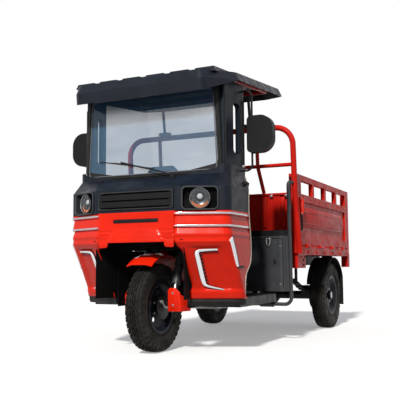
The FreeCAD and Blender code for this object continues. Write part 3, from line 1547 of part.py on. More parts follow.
def bed_floor():
    """The floor sheet with its sills, cross members, corner posts and hinge pins."""
    end = "bed_start + bed_length"
    sheet_block = block("bed_sheet", ("-bed_half_width", "bed_half_width"), ("bed_start", end),
                        ("bed_floor - bed_floor_sheet", "bed_floor"))
    sill = block("sill", ("bed_half_width - sill_wall", "bed_half_width"), ("bed_start", end),
                 ("bed_floor - sill_height", "bed_floor"))
    post_front = block("post_front", ("bed_half_width - post_side", "bed_half_width"),
                       ("bed_start", "bed_start + post_side"), ("post_bottom", "gate_top"))
    post_rear = block("post_rear", ("bed_half_width - post_side", "bed_half_width"), (f"{end} - post_side", end),
                      ("post_bottom", "gate_top"))
    plate = block("post_plate", ("bed_half_width - post_plate", "bed_half_width"),
                  ("bed_start + post_side", "bed_start + post_side + post_plate_width"),
                  ("post_bottom", "bed_floor - sill_height"))
    left = [sill, post_front, post_rear, plate] + side_hinge_pins()
    pieces = [sheet_block] + left + [mirrored(piece.Name + "_right", piece) for piece in left]
    count = int(number("bed_cross_members"))
    for index in range(count):
        start = f"bed_start + (bed_length - cross_member) * {index} / {count - 1}"
        pieces.append(block("bed_cross", ("-bed_half_width", "bed_half_width"), (start, f"{start} + cross_member"),
                            ("rail_top", "bed_floor")))
    pieces += tail_hinge_pins()
    middle = "bed_start + bed_length / 2"
    holes = []
    for side in ("bed_bolt_side", "-bed_bolt_side"):
        for reach in ("bed_bolt_reach", "-bed_bolt_reach"):
            holes.append(rod("bed_bolt_hole", (side, f"{middle} + ({reach})", "bed_floor - 2 * bed_floor_sheet"),
                             (side, f"{middle} + ({reach})", "bed_floor + bed_floor_sheet"), "bed_bolt_radius"))
    return cut("bed_floor", join("bed_solid", *pieces), *holes)


def side_hinge_pins():
    """Pins along the left sill, each between two lugs."""
    pieces = []
    count = int(number("hinges"))
    for index in range(count):
        centre = f"{GATE_FRONT} + (({GATE_REAR}) - ({GATE_FRONT})) * ({index} + 0.5) / {count}"
        pieces += hinge_pin("side_hinge", centre, along="y")
    return pieces


def hinge_pin(name, centre, along):
    """One pin and its two lugs; along is the axis that the pin lies on."""
    pin = doc.addObject("Part::Cylinder", name + "_pin")
    bind(pin, Radius="hinge_radius", Height="hinge_width + 4 * hinge_radius")
    start = f"{centre} - hinge_width / 2 - 2 * hinge_radius"
    lugs = []
    if along == "y":
        pin.Placement.Rotation = FreeCAD.Rotation(FreeCAD.Vector(0, 0, 1), FreeCAD.Vector(0, 1, 0))
        place(pin, "bed_half_width + hinge_offset", start, "bed_floor")
        for end in (f"{centre} - hinge_width / 2 - 2 * hinge_radius", f"{centre} + hinge_width / 2 + hinge_gap"):
            lugs.append(block(name + "_lug",
                              ("bed_half_width - hinge_radius", "bed_half_width + hinge_offset + hinge_radius"),
                              (end, f"{end} + 2 * hinge_radius - hinge_gap"),
                              ("bed_floor - 2 * hinge_radius", "bed_floor + hinge_radius")))
    else:
        pin.Placement.Rotation = FreeCAD.Rotation(FreeCAD.Vector(0, 0, 1), FreeCAD.Vector(1, 0, 0))
        back = "bed_start + bed_length"
        place(pin, start, f"{back} + hinge_offset", "bed_floor")
        for end in (f"{centre} - hinge_width / 2 - 2 * hinge_radius", f"{centre} + hinge_width / 2 + hinge_gap"):
            lugs.append(block(name + "_lug", (end, f"{end} + 2 * hinge_radius - hinge_gap"),
                              (f"{back} - hinge_radius", f"{back} + hinge_offset + hinge_radius"),
                              ("bed_floor - 2 * hinge_radius", "bed_floor + hinge_radius")))
    return [pin] + lugs


def tail_hinge_pins():
    pieces = []
    for centre in tail_hinge_centres():
        pieces += hinge_pin("tail_hinge", centre, along="x")
    return pieces


def tail_hinge_centres():
    count = int(number("tail_hinges"))
    return [f"2 * bed_half_width * ({index} - {(count - 1) / 2}) / {count}" for index in range(count)]


def gate_eye(name, centre, along):
    """The eye of a gate's hinge, bored to turn on its pin."""
    eye = doc.addObject("Part::Cylinder", name)
    hole = doc.addObject("Part::Cylinder", name + "_hole")
    bind(eye, Radius="hinge_eye_radius", Height="hinge_width - 2 * hinge_gap")
    bind(hole, Radius="hinge_radius + hinge_gap", Height="hinge_width - 2 * hinge_gap")
    start = f"{centre} - hinge_width / 2 + hinge_gap"
    direction = FreeCAD.Vector(0, 1, 0) if along == "y" else FreeCAD.Vector(1, 0, 0)
    for piece in (eye, hole):
        piece.Placement.Rotation = FreeCAD.Rotation(FreeCAD.Vector(0, 0, 1), direction)
        if along == "y":
            place(piece, "bed_half_width + hinge_offset", start, "bed_floor")
        else:
            place(piece, start, "bed_start + bed_length + hinge_offset", "bed_floor")
    return eye, hole


def side_gate():
    """A drop side's pressed panel, with the eyes of its hinges along its foot."""
    inner = "bed_half_width - gate_thickness"
    outer = "bed_half_width"
    low = "bed_floor + hinge_eye_radius"
    panel = block("gate_panel", (inner, outer), (GATE_FRONT, GATE_REAR), (low, "gate_panel_top + gate_mid_rail"))
    recess = block("gate_recess", ("bed_half_width - gate_panel_recess", "bed_half_width + gate_panel_recess"),
                   (f"{GATE_FRONT} + gate_panel_border", f"{GATE_REAR} - gate_panel_border"),
                   ("bed_floor + gate_ledge", "gate_panel_top"))
    eyes = []
    holes = []
    hinges = int(number("hinges"))
    for index in range(hinges):
        centre = f"{GATE_FRONT} + (({GATE_REAR}) - ({GATE_FRONT})) * ({index} + 0.5) / {hinges}"
        eye, hole = gate_eye("gate_eye", centre, "y")
        strap = block("gate_strap", ("bed_half_width - gate_thickness / 2", "bed_half_width + hinge_offset"),
                      (f"{centre} - hinge_width / 2 + hinge_gap", f"{centre} + hinge_width / 2 - hinge_gap"),
                      ("bed_floor + hinge_radius + hinge_gap", "bed_floor + hinge_eye_radius + hinge_radius"))
        eyes += [eye, strap]
        holes.append(hole)
    return cut("side_gate", join("gate_solid", cut("gate_pressed", panel, recess), *eyes), *holes)


def gate_fence():
    """The open fence on a drop side: a top rail on uprights."""
    inner = "bed_half_width - gate_thickness"
    outer = "bed_half_width"
    top = block("gate_top_rail", (inner, outer), (GATE_FRONT, GATE_REAR), ("gate_top - gate_top_rail", "gate_top"))
    span = f"({GATE_REAR}) - ({GATE_FRONT}) - gate_upright"
    posts = []
    count = int(number("gate_uprights"))
    for index in range(count + 2):
        start = f"{GATE_FRONT} + ({span}) * {index} / {count + 1}"
        posts.append(block("gate_upright", (inner, outer), (start, f"{start} + gate_upright"),
                           ("gate_panel_top + gate_mid_rail", "gate_top - gate_top_rail")))
    return join("gate_fence", top, *posts)


def tail_gate():
    """The rear gate, a pressed panel hinged at its foot."""
    back = "bed_start + bed_length"
    side = "bed_half_width - post_side - gate_gap"
    panel = block("tail_panel", (f"-({side})", side), (f"{back} - gate_thickness", back),
                  ("bed_floor + hinge_eye_radius", "gate_panel_top + gate_mid_rail"))
    recess = block("tail_recess", (f"-({side}) + gate_panel_border", f"{side} - gate_panel_border"),
                   (f"{back} - gate_panel_recess", f"{back} + gate_panel_recess"),
                   ("bed_floor + gate_ledge", "gate_panel_top"))
    eyes = []
    holes = []
    for centre in tail_hinge_centres():
        eye, hole = gate_eye("tail_eye", centre, "x")
        strap = block("tail_strap",
                      (f"{centre} - hinge_width / 2 + hinge_gap", f"{centre} + hinge_width / 2 - hinge_gap"),
                      (f"{back} - gate_thickness / 2", f"{back} + hinge_offset"),
                      ("bed_floor + hinge_radius + hinge_gap", "bed_floor + hinge_eye_radius + hinge_radius"))
        eyes += [eye, strap]
        holes.append(hole)
    return cut("tail_gate", join("tail_solid", cut("tail_pressed", panel, recess), *eyes), *holes)


def head_board():
    """The bed's front wall, pressed into upright ribs, with a lip along its top."""
    owner = body("head_board_sheet")
    plan = sketch_on(owner, "XY_Plane", "bed_floor")
    side = "bed_half_width - post_side"
    count = int(number("head_board_ribs"))
    front = []
    for index in range(count):
        left = f"-({side}) + 2 * ({side}) * ({index} + head_board_rib_share) / {count}"
        right = f"-({side}) + 2 * ({side}) * ({index} + 1 - head_board_rib_share) / {count}"
        front += [
            (f"{left} - head_board_rib", "bed_start + head_board_rib"),
            (left, "bed_start"),
            (right, "bed_start"),
            (f"{right} + head_board_rib", "bed_start + head_board_rib"),
        ]
    outline(plan, [(f"-({side})", "bed_start + head_board_rib"), *front, (side, "bed_start + head_board_rib"),
                   (side, "bed_start + head_board_thickness"), (f"-({side})", "bed_start + head_board_thickness")])
    pad(owner, plan, "head_board_top - bed_floor")
    lip = block("head_board_lip", (f"-({side})", side), ("bed_start - head_board_rib", "bed_start + head_board_lip"),
                ("head_board_top - head_board_rib", "head_board_top"))
    return join("head_board_whole", owner, lip)


def hoop():
    """The head rail: a bent tube on brackets at the bed's front, with a cross bar and two uprights."""
    foot_y = "bed_start - hoop_radius - seat_gap"
    bend_y = f"{foot_y} - hoop_lead"
    top_y = f"{bend_y} - hoop_top_lead"
    half = [("hoop_half_width", foot_y, "hoop_foot"), ("hoop_half_width", bend_y, "hoop_bend_height"),
            ("hoop_half_width", top_y, "hoop_top")]
    other = [("-" + x, y, z) for x, y, z in reversed(half)]
    tube = bent_tube("hoop_tube", half + other, "hoop_radius", "hoop_corner")
    bar_y = f"{bend_y} - hoop_top_lead * (hoop_bar_height - hoop_bend_height) / (hoop_top - hoop_bend_height)"
    bar = rod("hoop_bar", ("-hoop_half_width", bar_y, "hoop_bar_height"),
              ("hoop_half_width", bar_y, "hoop_bar_height"), "hoop_bar_radius")
    upper = rod("hoop_upright", ("hoop_upright", bar_y, "hoop_bar_height"), ("hoop_upright", top_y, "hoop_top"),
                "hoop_bar_radius")
    lean_back = f"(bed_start - ({bar_y})) / (hoop_bar_height - head_board_top)"
    lower = rod("hoop_strut", ("hoop_upright", "bed_start", f"head_board_top + hoop_bar_radius * {lean_back}"),
                ("hoop_upright", bar_y, "hoop_bar_height"), "hoop_bar_radius")
    bracket = block("hoop_bracket", ("bed_half_width - post_side", "hoop_half_width"),
                    ("bed_start - hoop_radius - seat_gap", "bed_start"), ("hoop_foot", "hoop_foot + hoop_bracket"))
    half_pieces = [upper, lower, bracket]
    return join("hoop", tube, bar, *half_pieces, *[mirrored(piece.Name + "_right", piece) for piece in half_pieces])


def cargo_bed():
    for label, piece in (("bed_floor", bed_floor()), ("head_board", head_board()), ("hoop", hoop()),
                         ("tail_gate", tail_gate())):
        finish(label, piece)
    for label, left in (("side_gate", side_gate()), ("gate_fence", gate_fence())):
        finish(label + "_left", left)
        right = mirrored(label + "_mirror", left)
        right.Label = label + "_right"
        PARTS.append(right)


# Rear running gear

def rear_axle():
    half = "axle_tube_half"
    tube = rod("axle_tube", (f"-{half}", "0", "0"), (half, "0", "0"), "axle_tube_radius")
    ball = body("differential")
    case = sketch_on(ball, "XZ_Plane")
    outline(case, [
        ("-diff_radius", "0"),
        ("-diff_radius", "axle_tube_radius + saddle_plate"),
        ("-diff_radius / 2", "diff_radius"),
        ("diff_radius / 2", "diff_radius"),
        ("diff_radius", "axle_tube_radius + saddle_plate"),
        ("diff_radius", "0"),
    ])
    spin(ball, case)
    drum = rod("rear_drum", ("rear_drum_inner", "0", "0"), ("rear_drum_outer", "0", "0"), "rear_drum_radius")
    spindle = rod("spindle", ("rear_drum_inner", "0", "0"), ("rear_half_track + hub_half_width", "0", "0"),
                  "spindle_radius")
    pad_top = "axle_tube_radius + (leaves + 1) * leaf_thickness"
    saddle = block("spring_saddle", ("rail_half_spacing - saddle_width / 2", "rail_half_spacing + saddle_width / 2"),
                   ("-saddle_length / 2", "saddle_length / 2"), ("0", f"{pad_top} + saddle_plate"))
    shaft = rod("propshaft", ("0", "engine_back + propshaft_gap - wheelbase", "propshaft_height - axle_height"),
                ("0", "0", "0"), "propshaft_radius")
    left = [drum, spindle, saddle]
    whole = join("rear_axle_solid", tube, ball, shaft, *left,
                 *[mirrored(piece.Name + "_right", piece) for piece in left])
    seat = leaf_spring("spring_seat")
    return cut("rear_axle", whole, seat, mirrored("spring_seat_right", seat))


def leaf_spring(name):
    """A pack of bowed leaves over the axle, with an eye at each end."""
    radius = "(leaf_half_length * leaf_half_length + leaf_camber * leaf_camber) / (2 * leaf_camber)"
    bottom = number("axle_tube_radius + seat_gap")
    leaves = []
    for index in range(int(number("leaves"))):
        inner_radius = number(radius) - number("leaf_thickness") * (index + 1)
        outer_radius = inner_radius + number("leaf_thickness")
        half = number("leaf_half_length") - number("leaf_step") * (number("leaves") - 1 - index)
        angle = math.asin(half / outer_radius)
        leaves.append(leaf_arc(inner_radius, outer_radius, angle, bottom + number(radius)))
    eyes = []
    for direction in (-1, 1):
        centre, width = leaf_eye_place(direction)
        eye = Part.makeCylinder(number("leaf_eye_radius"), width, centre, FreeCAD.Vector(1, 0, 0))
        bore = Part.makeCylinder(number("leaf_pin_radius"), width, centre, FreeCAD.Vector(1, 0, 0))
        eyes.append((eye, bore))
    pack = leaves[0].multiFuse(leaves[1:] + [eye for eye, bore in eyes])
    return shaped(name, pack.cut([bore for eye, bore in eyes]))


def leaf_eye_place(direction):
    """The inner end of an eye's axis, from the axle's centre, and the eye's width."""
    height = "axle_tube_radius + leaf_camber + leaf_eye_radius"
    centre = spot("rail_half_spacing - leaf_width / 2", f"leaf_half_length * ({direction})", height)
    return centre, number("leaf_width")


def spring_hangers():
    """Plates under the rails that carry the pins through the springs' eyes."""
    pieces = []
    height = "axle_height + axle_tube_radius + leaf_camber + leaf_eye_radius"
    for direction in (-1, 1):
        centre = f"wheelbase + leaf_half_length * ({direction})"
        inner = "rail_half_spacing - leaf_width / 2 - hanger_thickness - running_gap"
        outer = "rail_half_spacing + leaf_width / 2 + running_gap"
        for start in (inner, outer):
            pieces.append(block("hanger", (start, f"{start} + hanger_thickness"),
                                (f"{centre} - hanger_length / 2", f"{centre} + hanger_length / 2"),
                                (f"{height} - leaf_eye_radius", "rail_top - rail_height")))
        pieces.append(block("hanger_cap", (inner, f"{outer} + hanger_thickness"),
                            (f"{centre} - hanger_length / 2", f"{centre} + hanger_length / 2"),
                            ("rail_top - rail_height - hanger_thickness", "rail_top - rail_height")))
        pieces.append(rod("hanger_pin", (inner, centre, height), (f"{outer} + hanger_thickness", centre, height),
                          "leaf_pin_radius"))
    return pieces


def leaf_arc(inner, outer, angle, centre_height):
    """One leaf, a curved strip centred below its bow's centre."""
    width = number("leaf_width")
    x = number("rail_half_spacing") - width / 2

    def on_arc(radius, turn):
        return FreeCAD.Vector(x, radius * math.sin(turn), centre_height - radius * math.cos(turn))

    edges = [
        Part.Arc(on_arc(outer, -angle), on_arc(outer, 0), on_arc(outer, angle)).toShape(),
        Part.LineSegment(on_arc(outer, angle), on_arc(inner, angle)).toShape(),
        Part.Arc(on_arc(inner, angle), on_arc(inner, 0), on_arc(inner, -angle)).toShape(),
        Part.LineSegment(on_arc(inner, -angle), on_arc(outer, -angle)).toShape(),
    ]
    return Part.Face(Part.Wire(edges)).extrude(FreeCAD.Vector(width, 0, 0))


def rear_mudguard():
    """A curved guard over the wheel with a flap behind it."""
    owner = body("rear_mudguard")
    section = sketch_on(owner, "XZ_Plane")
    outline(section, [
        ("-rear_mudguard_half_width", "rear_mudguard_radius - rear_mudguard_wall"),
        ("rear_mudguard_half_width", "rear_mudguard_radius - rear_mudguard_wall"),
        ("rear_mudguard_half_width", "rear_mudguard_radius"),
        ("-rear_mudguard_half_width", "rear_mudguard_radius"),
    ])
    blade = spin(owner, section)
    blade.Type = "TwoAngles"
    blade.setExpression("Angle", cells("rear_mudguard_front"))
    blade.setExpression("Angle2", cells("rear_mudguard_rear"))
    turn = math.radians(number("rear_mudguard_rear"))
    reach = number("rear_mudguard_radius")
    top = FreeCAD.Vector(0, reach * math.sin(turn), reach * math.cos(turn))
    flap = doc.addObject("Part::Box", "mud_flap")
    bind(flap, Length="2 * rear_mudguard_half_width", Width="flap_thickness",
         Height="axle_height - flap_bottom + rear_mudguard_radius / 2")
    place(flap, "-rear_mudguard_half_width", f"{top.y} - rear_mudguard_wall / 2", "flap_bottom - axle_height")
    bracket = block("mudguard_bracket", ("-post_side / 2", "post_side / 2"),
                    ("-rear_mudguard_bracket / 2", "rear_mudguard_bracket / 2"),
                    ("rear_mudguard_radius - rear_mudguard_wall", "rail_top - axle_height"))
    return join("rear_mudguard_whole", owner, flap, bracket)


def tail_lamp():
    back = "bed_start + bed_length"
    return block("tail_lamp", ("tail_lamp_side", "tail_lamp_side + tail_lamp_width"),
                 (back, f"{back} + tail_lamp_depth"), ("tail_lamp_bottom", "tail_lamp_bottom + tail_lamp_height"))


def running_gear():
    axle = rear_axle()
    finish("rear_axle", axle)
    place(axle, "0", f"wheelbase + {HALFWAY}", "axle_height")
    springs = both_sides("leaf_spring_pair", leaf_spring("leaf_spring"))
    finish("leaf_springs", springs)
    place(springs, "0", f"wheelbase + {HALFWAY}", "axle_height")
    guard = rear_mudguard()
    place(guard, "rear_half_track", "0", "0")
    guards = both_sides("rear_mudguard_pair", guard)
    finish("rear_mudguards", guards)
    place(guards, "0", f"wheelbase + {HALFWAY}", "axle_height")
    finish("tail_lamps", both_sides("tail_lamp_pair", tail_lamp()))


wheels()
steering()
finish("frame", frame())
finish("floor_pan", floor_pan())
finish("wheel_housing", wheel_housing())
fascia()
cab()
cargo_bed()
running_gear()
doc.recompute()

faults = [thing.Label + ": " + ", ".join(thing.State) for thing in doc.Objects
          if "Invalid" in thing.State or "Error" in thing.State]
for piece in PARTS:
    if piece.Shape.isNull() or not piece.Shape.isValid():
        faults.append(piece.Label + ": no valid shape")
if faults:
    raise SystemExit("\n".join(faults))
for piece in PARTS:
    piece.Shape.exportStep(f"parts/{piece.Label}.step")
    box = piece.Shape.BoundBox
    print(f"{piece.Label:20s} solids {len(piece.Shape.Solids)} volume {piece.Shape.Volume / 1000:10.0f} cm3"
          f" x {box.XMin:7.1f} {box.XMax:7.1f} y {box.YMin:8.1f} {box.YMax:8.1f} z {box.ZMin:7.1f} {box.ZMax:7.1f}")
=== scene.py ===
"""The looks of the cargo tricycle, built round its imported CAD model."""

import math

import bmesh
import bpy
from mathutils import Matrix, Vector

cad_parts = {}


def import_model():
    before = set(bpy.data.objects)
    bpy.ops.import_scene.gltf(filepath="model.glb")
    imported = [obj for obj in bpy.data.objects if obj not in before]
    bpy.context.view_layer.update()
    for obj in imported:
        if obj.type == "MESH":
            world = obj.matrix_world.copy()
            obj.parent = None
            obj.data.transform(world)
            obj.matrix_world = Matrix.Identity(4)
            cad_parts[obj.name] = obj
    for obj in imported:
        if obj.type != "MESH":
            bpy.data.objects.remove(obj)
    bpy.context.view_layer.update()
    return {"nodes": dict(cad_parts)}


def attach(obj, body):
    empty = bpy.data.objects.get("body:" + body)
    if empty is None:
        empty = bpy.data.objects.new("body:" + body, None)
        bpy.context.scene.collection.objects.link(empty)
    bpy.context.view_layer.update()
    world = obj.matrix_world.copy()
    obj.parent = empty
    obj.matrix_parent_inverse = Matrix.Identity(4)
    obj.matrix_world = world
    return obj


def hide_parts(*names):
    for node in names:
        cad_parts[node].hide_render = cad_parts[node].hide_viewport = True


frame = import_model()

# Lengths are in metres: x to the vehicle's left, y to its rear and z up.
# Places are written from the ground under the front axle, which has this y in the model's frame.
AXLE_TO_MIDDLE = -1.125
WHEELBASE = 2.09
AXLE_HEIGHT = 0.285
REAR_HALF_TRACK = 0.556
TYRE_RADIUS = 0.285
TYRE_HALF_WIDTH = 0.063
RAKE = math.radians(20)

LEFT = Vector((1, 0, 0))
BACK = Vector((0, 1, 0))
UP = Vector((0, 0, 1))
SIDES = (1, -1)

# A plane is a pair of directions, across and up; a slab grows from it towards its viewer.
FROM_FRONT = (LEFT, UP)
FROM_BEHIND = (-LEFT, UP)
FROM_LEFT = (BACK, UP)
FROM_ABOVE = (LEFT, BACK)


def at(x, y, z):
    """A place given from under the front axle, in the model's own frame."""
    return Vector((x, y + AXLE_TO_MIDDLE, z))


def leaned(x, y, z):
    """A place given with the fork upright and the axle at zero."""
    turned = Matrix.Rotation(-RAKE, 3, "X") @ Vector((x, y, z))
    return turned + at(0, 0, AXLE_HEIGHT)


def sided(name, side):
    """The name of the left or the right one of a pair."""
    return name + ("_left" if side > 0 else "_right")


def both(sides_function):
    """Runs a function for the left side and for the right side."""
    for side in SIDES:
        sides_function(side)


def placed(name, data):
    """A new object of the scene."""
    thing = bpy.data.objects.new(name, data)
    bpy.context.scene.collection.objects.link(thing)
    return thing


# Materials

DUST = (0.3, 0.25, 0.19)
DUST_START = 0.05

# How fine the noise is that varies each of these
TONE_GRAIN = 6.0
GLOSS_GRAIN = 14.0
DUST_GRAIN = 9.0
TINT_GRAIN = 3.0
SMEAR_GRAIN = 2.2
GLASS_GLOSS_GRAIN = 2.5


def shader_node(tree, kind, values=None, links=None):
    """A node of a kind, with values and links for some of its inputs."""
    made = tree.nodes.new("ShaderNode" + kind)
    for name, value in (values or {}).items():
        made.inputs[name].default_value = value
    for name, output in (links or {}).items():
        tree.links.new(output, made.inputs[name])
    return made


def arithmetic(tree, operation, first, second):
    """Two outputs, or an output and a number, multiplied, or added up to one at most."""
    made = tree.nodes.new("ShaderNodeMath")
    made.operation = operation
    made.use_clamp = operation == "ADD"
    for place, value in zip(made.inputs, (first, second)):
        if isinstance(value, float):
            place.default_value = value
        else:
            tree.links.new(value, place)
    return made.outputs[0]


def own_place(tree):
    """The object's own coordinates."""
    return tree.nodes.new("ShaderNodeTexCoord").outputs["Object"]


def own_height(tree):
    """The height above the floor."""
    return shader_node(tree, "SeparateXYZ", links={"Vector": own_place(tree)}).outputs["Z"]


def noise(tree, scale, detail=4.0, stretch=(1, 1, 1)):
    """Noise laid over the object's own coordinates."""
    mapping = shader_node(tree, "Mapping", {"Scale": stretch}, {"Vector": own_place(tree)})
    texture = shader_node(tree, "TexNoise", {"Scale": scale, "Detail": detail},
                          {"Vector": mapping.outputs["Vector"]})
    return texture.outputs["Fac"]


def spread(tree, value, low, high, start=0.35, end=0.65):
    """The value's middle range, stretched between low and high."""
    limits = {"From Min": start, "From Max": end, "To Min": low, "To Max": high}
    return shader_node(tree, "MapRange", limits, {"Value": value}).outputs["Result"]


def mixed(tree, factor, first, second):
    """A colour between two others; each is a colour or another node's output."""
    mix = tree.nodes.new("ShaderNodeMix")
    mix.data_type = "RGBA"
    tree.links.new(factor, mix.inputs["Factor"])
    for place, colour in (("A", first), ("B", second)):
        target = next(s for s in mix.inputs if s.name == place and s.type == "RGBA")
        if isinstance(colour, tuple):
            target.default_value = (*colour, 1)
        else:
            tree.links.new(colour, target)
    return next(s for s in mix.outputs if s.type == "RGBA")


def dust_by_height(tree, reach):
    """Patches that are dense near the ground and gone above the given height."""
    height = spread(tree, own_height(tree), 1.0, 0.0, DUST_START, reach)
    patches = spread(tree, noise(tree, DUST_GRAIN), 0.1, 1.0)
    return arithmetic(tree, "MULTIPLY", height, patches)


def new_material(name):
    """A material with its node tree and its main shader."""
    made = bpy.data.materials.new(name)
    made.use_nodes = True
    return made, made.node_tree, made.node_tree.nodes["Principled BSDF"]


COAT_ROUGHNESS = 0.04
SMEAR_STRETCH = (1, 1, 3)
SMEAR_CLEAR = 0.88
# How much denser the glass grows at its top: painted shade of the dark ceiling behind it
PAINTED_SHADE_DENSITY = 0.42


def surface(name, colour, roughness, metal=0.0, coat=0.0, vary=0.12, grain=180.0, bump=0.02,
            bump_depth=0.0006, dust=0.0, dust_reach=0.6, sheen=0.0, stretch=(1, 1, 1), glow=0.0,
            specular=0.5):
    """A surface with mottled colour, uneven gloss, a fine grain and, if asked, dust near the ground."""
    made, tree, shader = new_material(name)
    values = {"Metallic": metal, "Coat Weight": coat, "Coat Roughness": COAT_ROUGHNESS,
              "Sheen Weight": sheen, "Specular IOR Level": specular}
    if glow:
        values["Emission Color"] = (*colour, 1)
        values["Emission Strength"] = glow
    for place, value in values.items():
        shader.inputs[place].default_value = value
    dark = tuple(part * (1 - vary) for part in colour)
    light = tuple(min(1.0, part * (1 + vary)) for part in colour)
    tone = mixed(tree, spread(tree, noise(tree, TONE_GRAIN), 0, 1), dark, light)
    if dust:
        veil = arithmetic(tree, "MULTIPLY", dust_by_height(tree, dust_reach), dust)
        tone = mixed(tree, veil, tone, DUST)
    tree.links.new(tone, shader.inputs["Base Color"])
    gloss = spread(tree, noise(tree, GLOSS_GRAIN), roughness * 0.8, min(1.0, roughness * 1.25))
    tree.links.new(gloss, shader.inputs["Roughness"])
    relief = shader_node(tree, "Bump", {"Strength": bump, "Distance": bump_depth},
                         {"Height": noise(tree, grain, 3.0, stretch)})
    tree.links.new(relief.outputs["Normal"], shader.inputs["Normal"])
    return made


def glass(name, colour, roughness, see_through, shade=None):
    """Thin clear glass with faint smears; between the two heights of shade it grows denser towards its top,
    a painted shade of the dark ceiling.
    """
    made, tree, shader = new_material(name)
    dark = tuple(part * 0.85 for part in colour)
    tone = mixed(tree, spread(tree, noise(tree, TINT_GRAIN), 0, 1), dark, colour)
    tree.links.new(tone, shader.inputs["Base Color"])
    smears = noise(tree, SMEAR_GRAIN, 6.0, SMEAR_STRETCH)
    smear = spread(tree, smears, 1 - see_through, 1 - see_through * SMEAR_CLEAR)
    if shade:
        # Painted shade: the glass grows denser, and so darker, towards its top, for the dark ceiling behind
        # it
        band = spread(tree, own_height(tree), 0.0, PAINTED_SHADE_DENSITY, *shade)
        smear = arithmetic(tree, "ADD", smear, band)
    tree.links.new(smear, shader.inputs["Alpha"])
    gloss = spread(tree, noise(tree, GLASS_GLOSS_GRAIN), roughness, roughness * 1.5)
    tree.links.new(gloss, shader.inputs["Roughness"])
    return made


RED = surface("red_paint", (0.74, 0.018, 0.004), 0.22, coat=0.06, vary=0.07, grain=260, bump=0.04, dust=0.05,
              dust_reach=0.4, specular=0.1)
BED_RED = surface("bed_red_paint", (0.55, 0.012, 0.006), 0.4, coat=0.02, vary=0.07, grain=240, bump=0.05,
                  dust=0.04, dust_reach=0.62, specular=0.1)
NAVY = surface("navy_plastic", (0.006, 0.009, 0.016), 0.4, vary=0.2, grain=420, bump=0.12, specular=0.16)
BLACK_PLASTIC = surface("black_plastic", (0.008, 0.008, 0.009), 0.5, grain=520, bump=0.25, dust=0.05,
                        specular=0.12)
BLACK_STEEL = surface("black_steel", (0.009, 0.01, 0.012), 0.45, metal=0.2, vary=0.3, grain=200, bump=0.1,
                      dust=0.08, dust_reach=0.45, specular=0.3)
RUBBER = surface("seal_rubber", (0.008, 0.008, 0.008), 0.62, vary=0.3, grain=600, bump=0.2, specular=0.25)
TYRE = surface("tyre_rubber", (0.011, 0.0105, 0.0095), 0.8, vary=0.3, grain=420, bump=0.35, dust=0.06,
               specular=0.25)
WHEEL = surface("wheel_paint", (0.006, 0.008, 0.016), 0.42, vary=0.2, grain=160, bump=0.12, dust=0.04,
                specular=0.15)
STEEL = surface("bright_steel", (0.5, 0.5, 0.51), 0.33, metal=0.9, vary=0.15, grain=60, bump=0.1,
                stretch=(1, 1, 30), dust=0.2)
ALLOY = surface("cast_alloy", (0.42, 0.42, 0.42), 0.5, metal=0.8, vary=0.2, grain=300, bump=0.5, dust=0.3)
CHROME = surface("chrome_trim", (0.46, 0.47, 0.49), 0.14, metal=1.0, vary=0.08, grain=90, bump=0.03)
GREY = surface("grey_paint", (0.03, 0.032, 0.037), 0.45, vary=0.2, grain=260, bump=0.15, dust=0.08,
               specular=0.35)
# Near black: black parts such as the dial's face, and painted shade in the wheel housing, the arch liner,
# the grille's backing and the slots of the corner plates
BLACK_AND_PAINTED_SHADE = surface("black_and_painted_shade", (0.003, 0.003, 0.003), 0.85, vary=0.3, grain=300, bump=0.2, specular=0.1)
TRIM_GREY = surface("trim_grey", (0.11, 0.11, 0.12), 0.4, grain=300, bump=0.1)
BOWL = surface("lamp_bowl", (0.1, 0.105, 0.11), 0.25, metal=0.9, vary=0.2, grain=120, bump=0.1)
PLATE_WHITE = surface("plate_white", (0.7, 0.7, 0.68), 0.4, vary=0.04, grain=200, bump=0.05)
BEIGE = surface("beige_trim", (0.36, 0.32, 0.27), 0.45, grain=300, bump=0.1)
VINYL = surface("seat_vinyl", (0.018, 0.018, 0.02), 0.48, vary=0.3, grain=340, bump=0.5, bump_depth=0.0012,
                sheen=0.1)
FOAM = surface("foam_sleeve", (0.02, 0.02, 0.02), 0.85, vary=0.25, grain=700, bump=0.7, bump_depth=0.001)
LAMP_WHITE = surface("lamp_white", (0.82, 0.84, 0.86), 0.18, coat=0.3, vary=0.05, grain=90, bump=0.05,
                     glow=0.22)
AMBER = surface("amber_lens", (0.85, 0.2, 0.02), 0.15, coat=0.8, vary=0.15, grain=120, bump=0.1)
RED_LENS = surface("red_lens", (0.42, 0.01, 0.008), 0.15, coat=0.8, vary=0.15, grain=120, bump=0.1)
STRUT = surface("strut_paint", (0.16, 0.2, 0.27), 0.4, coat=0.3, vary=0.15, grain=240, bump=0.1)
# The screen's top is painted shade of the dark ceiling, growing from 1.5 m to 1.66 m up
SCREEN = glass("screen_glass", (0.07, 0.17, 0.29), 0.02, 0.64, shade=(1.5, 1.66))
LENS = glass("lamp_lens", (0.1, 0.11, 0.12), 0.03, 0.92)
MIRROR = surface("mirror_glass", (0.75, 0.78, 0.8), 0.03, metal=1.0, vary=0.04, grain=60, bump=0.01)

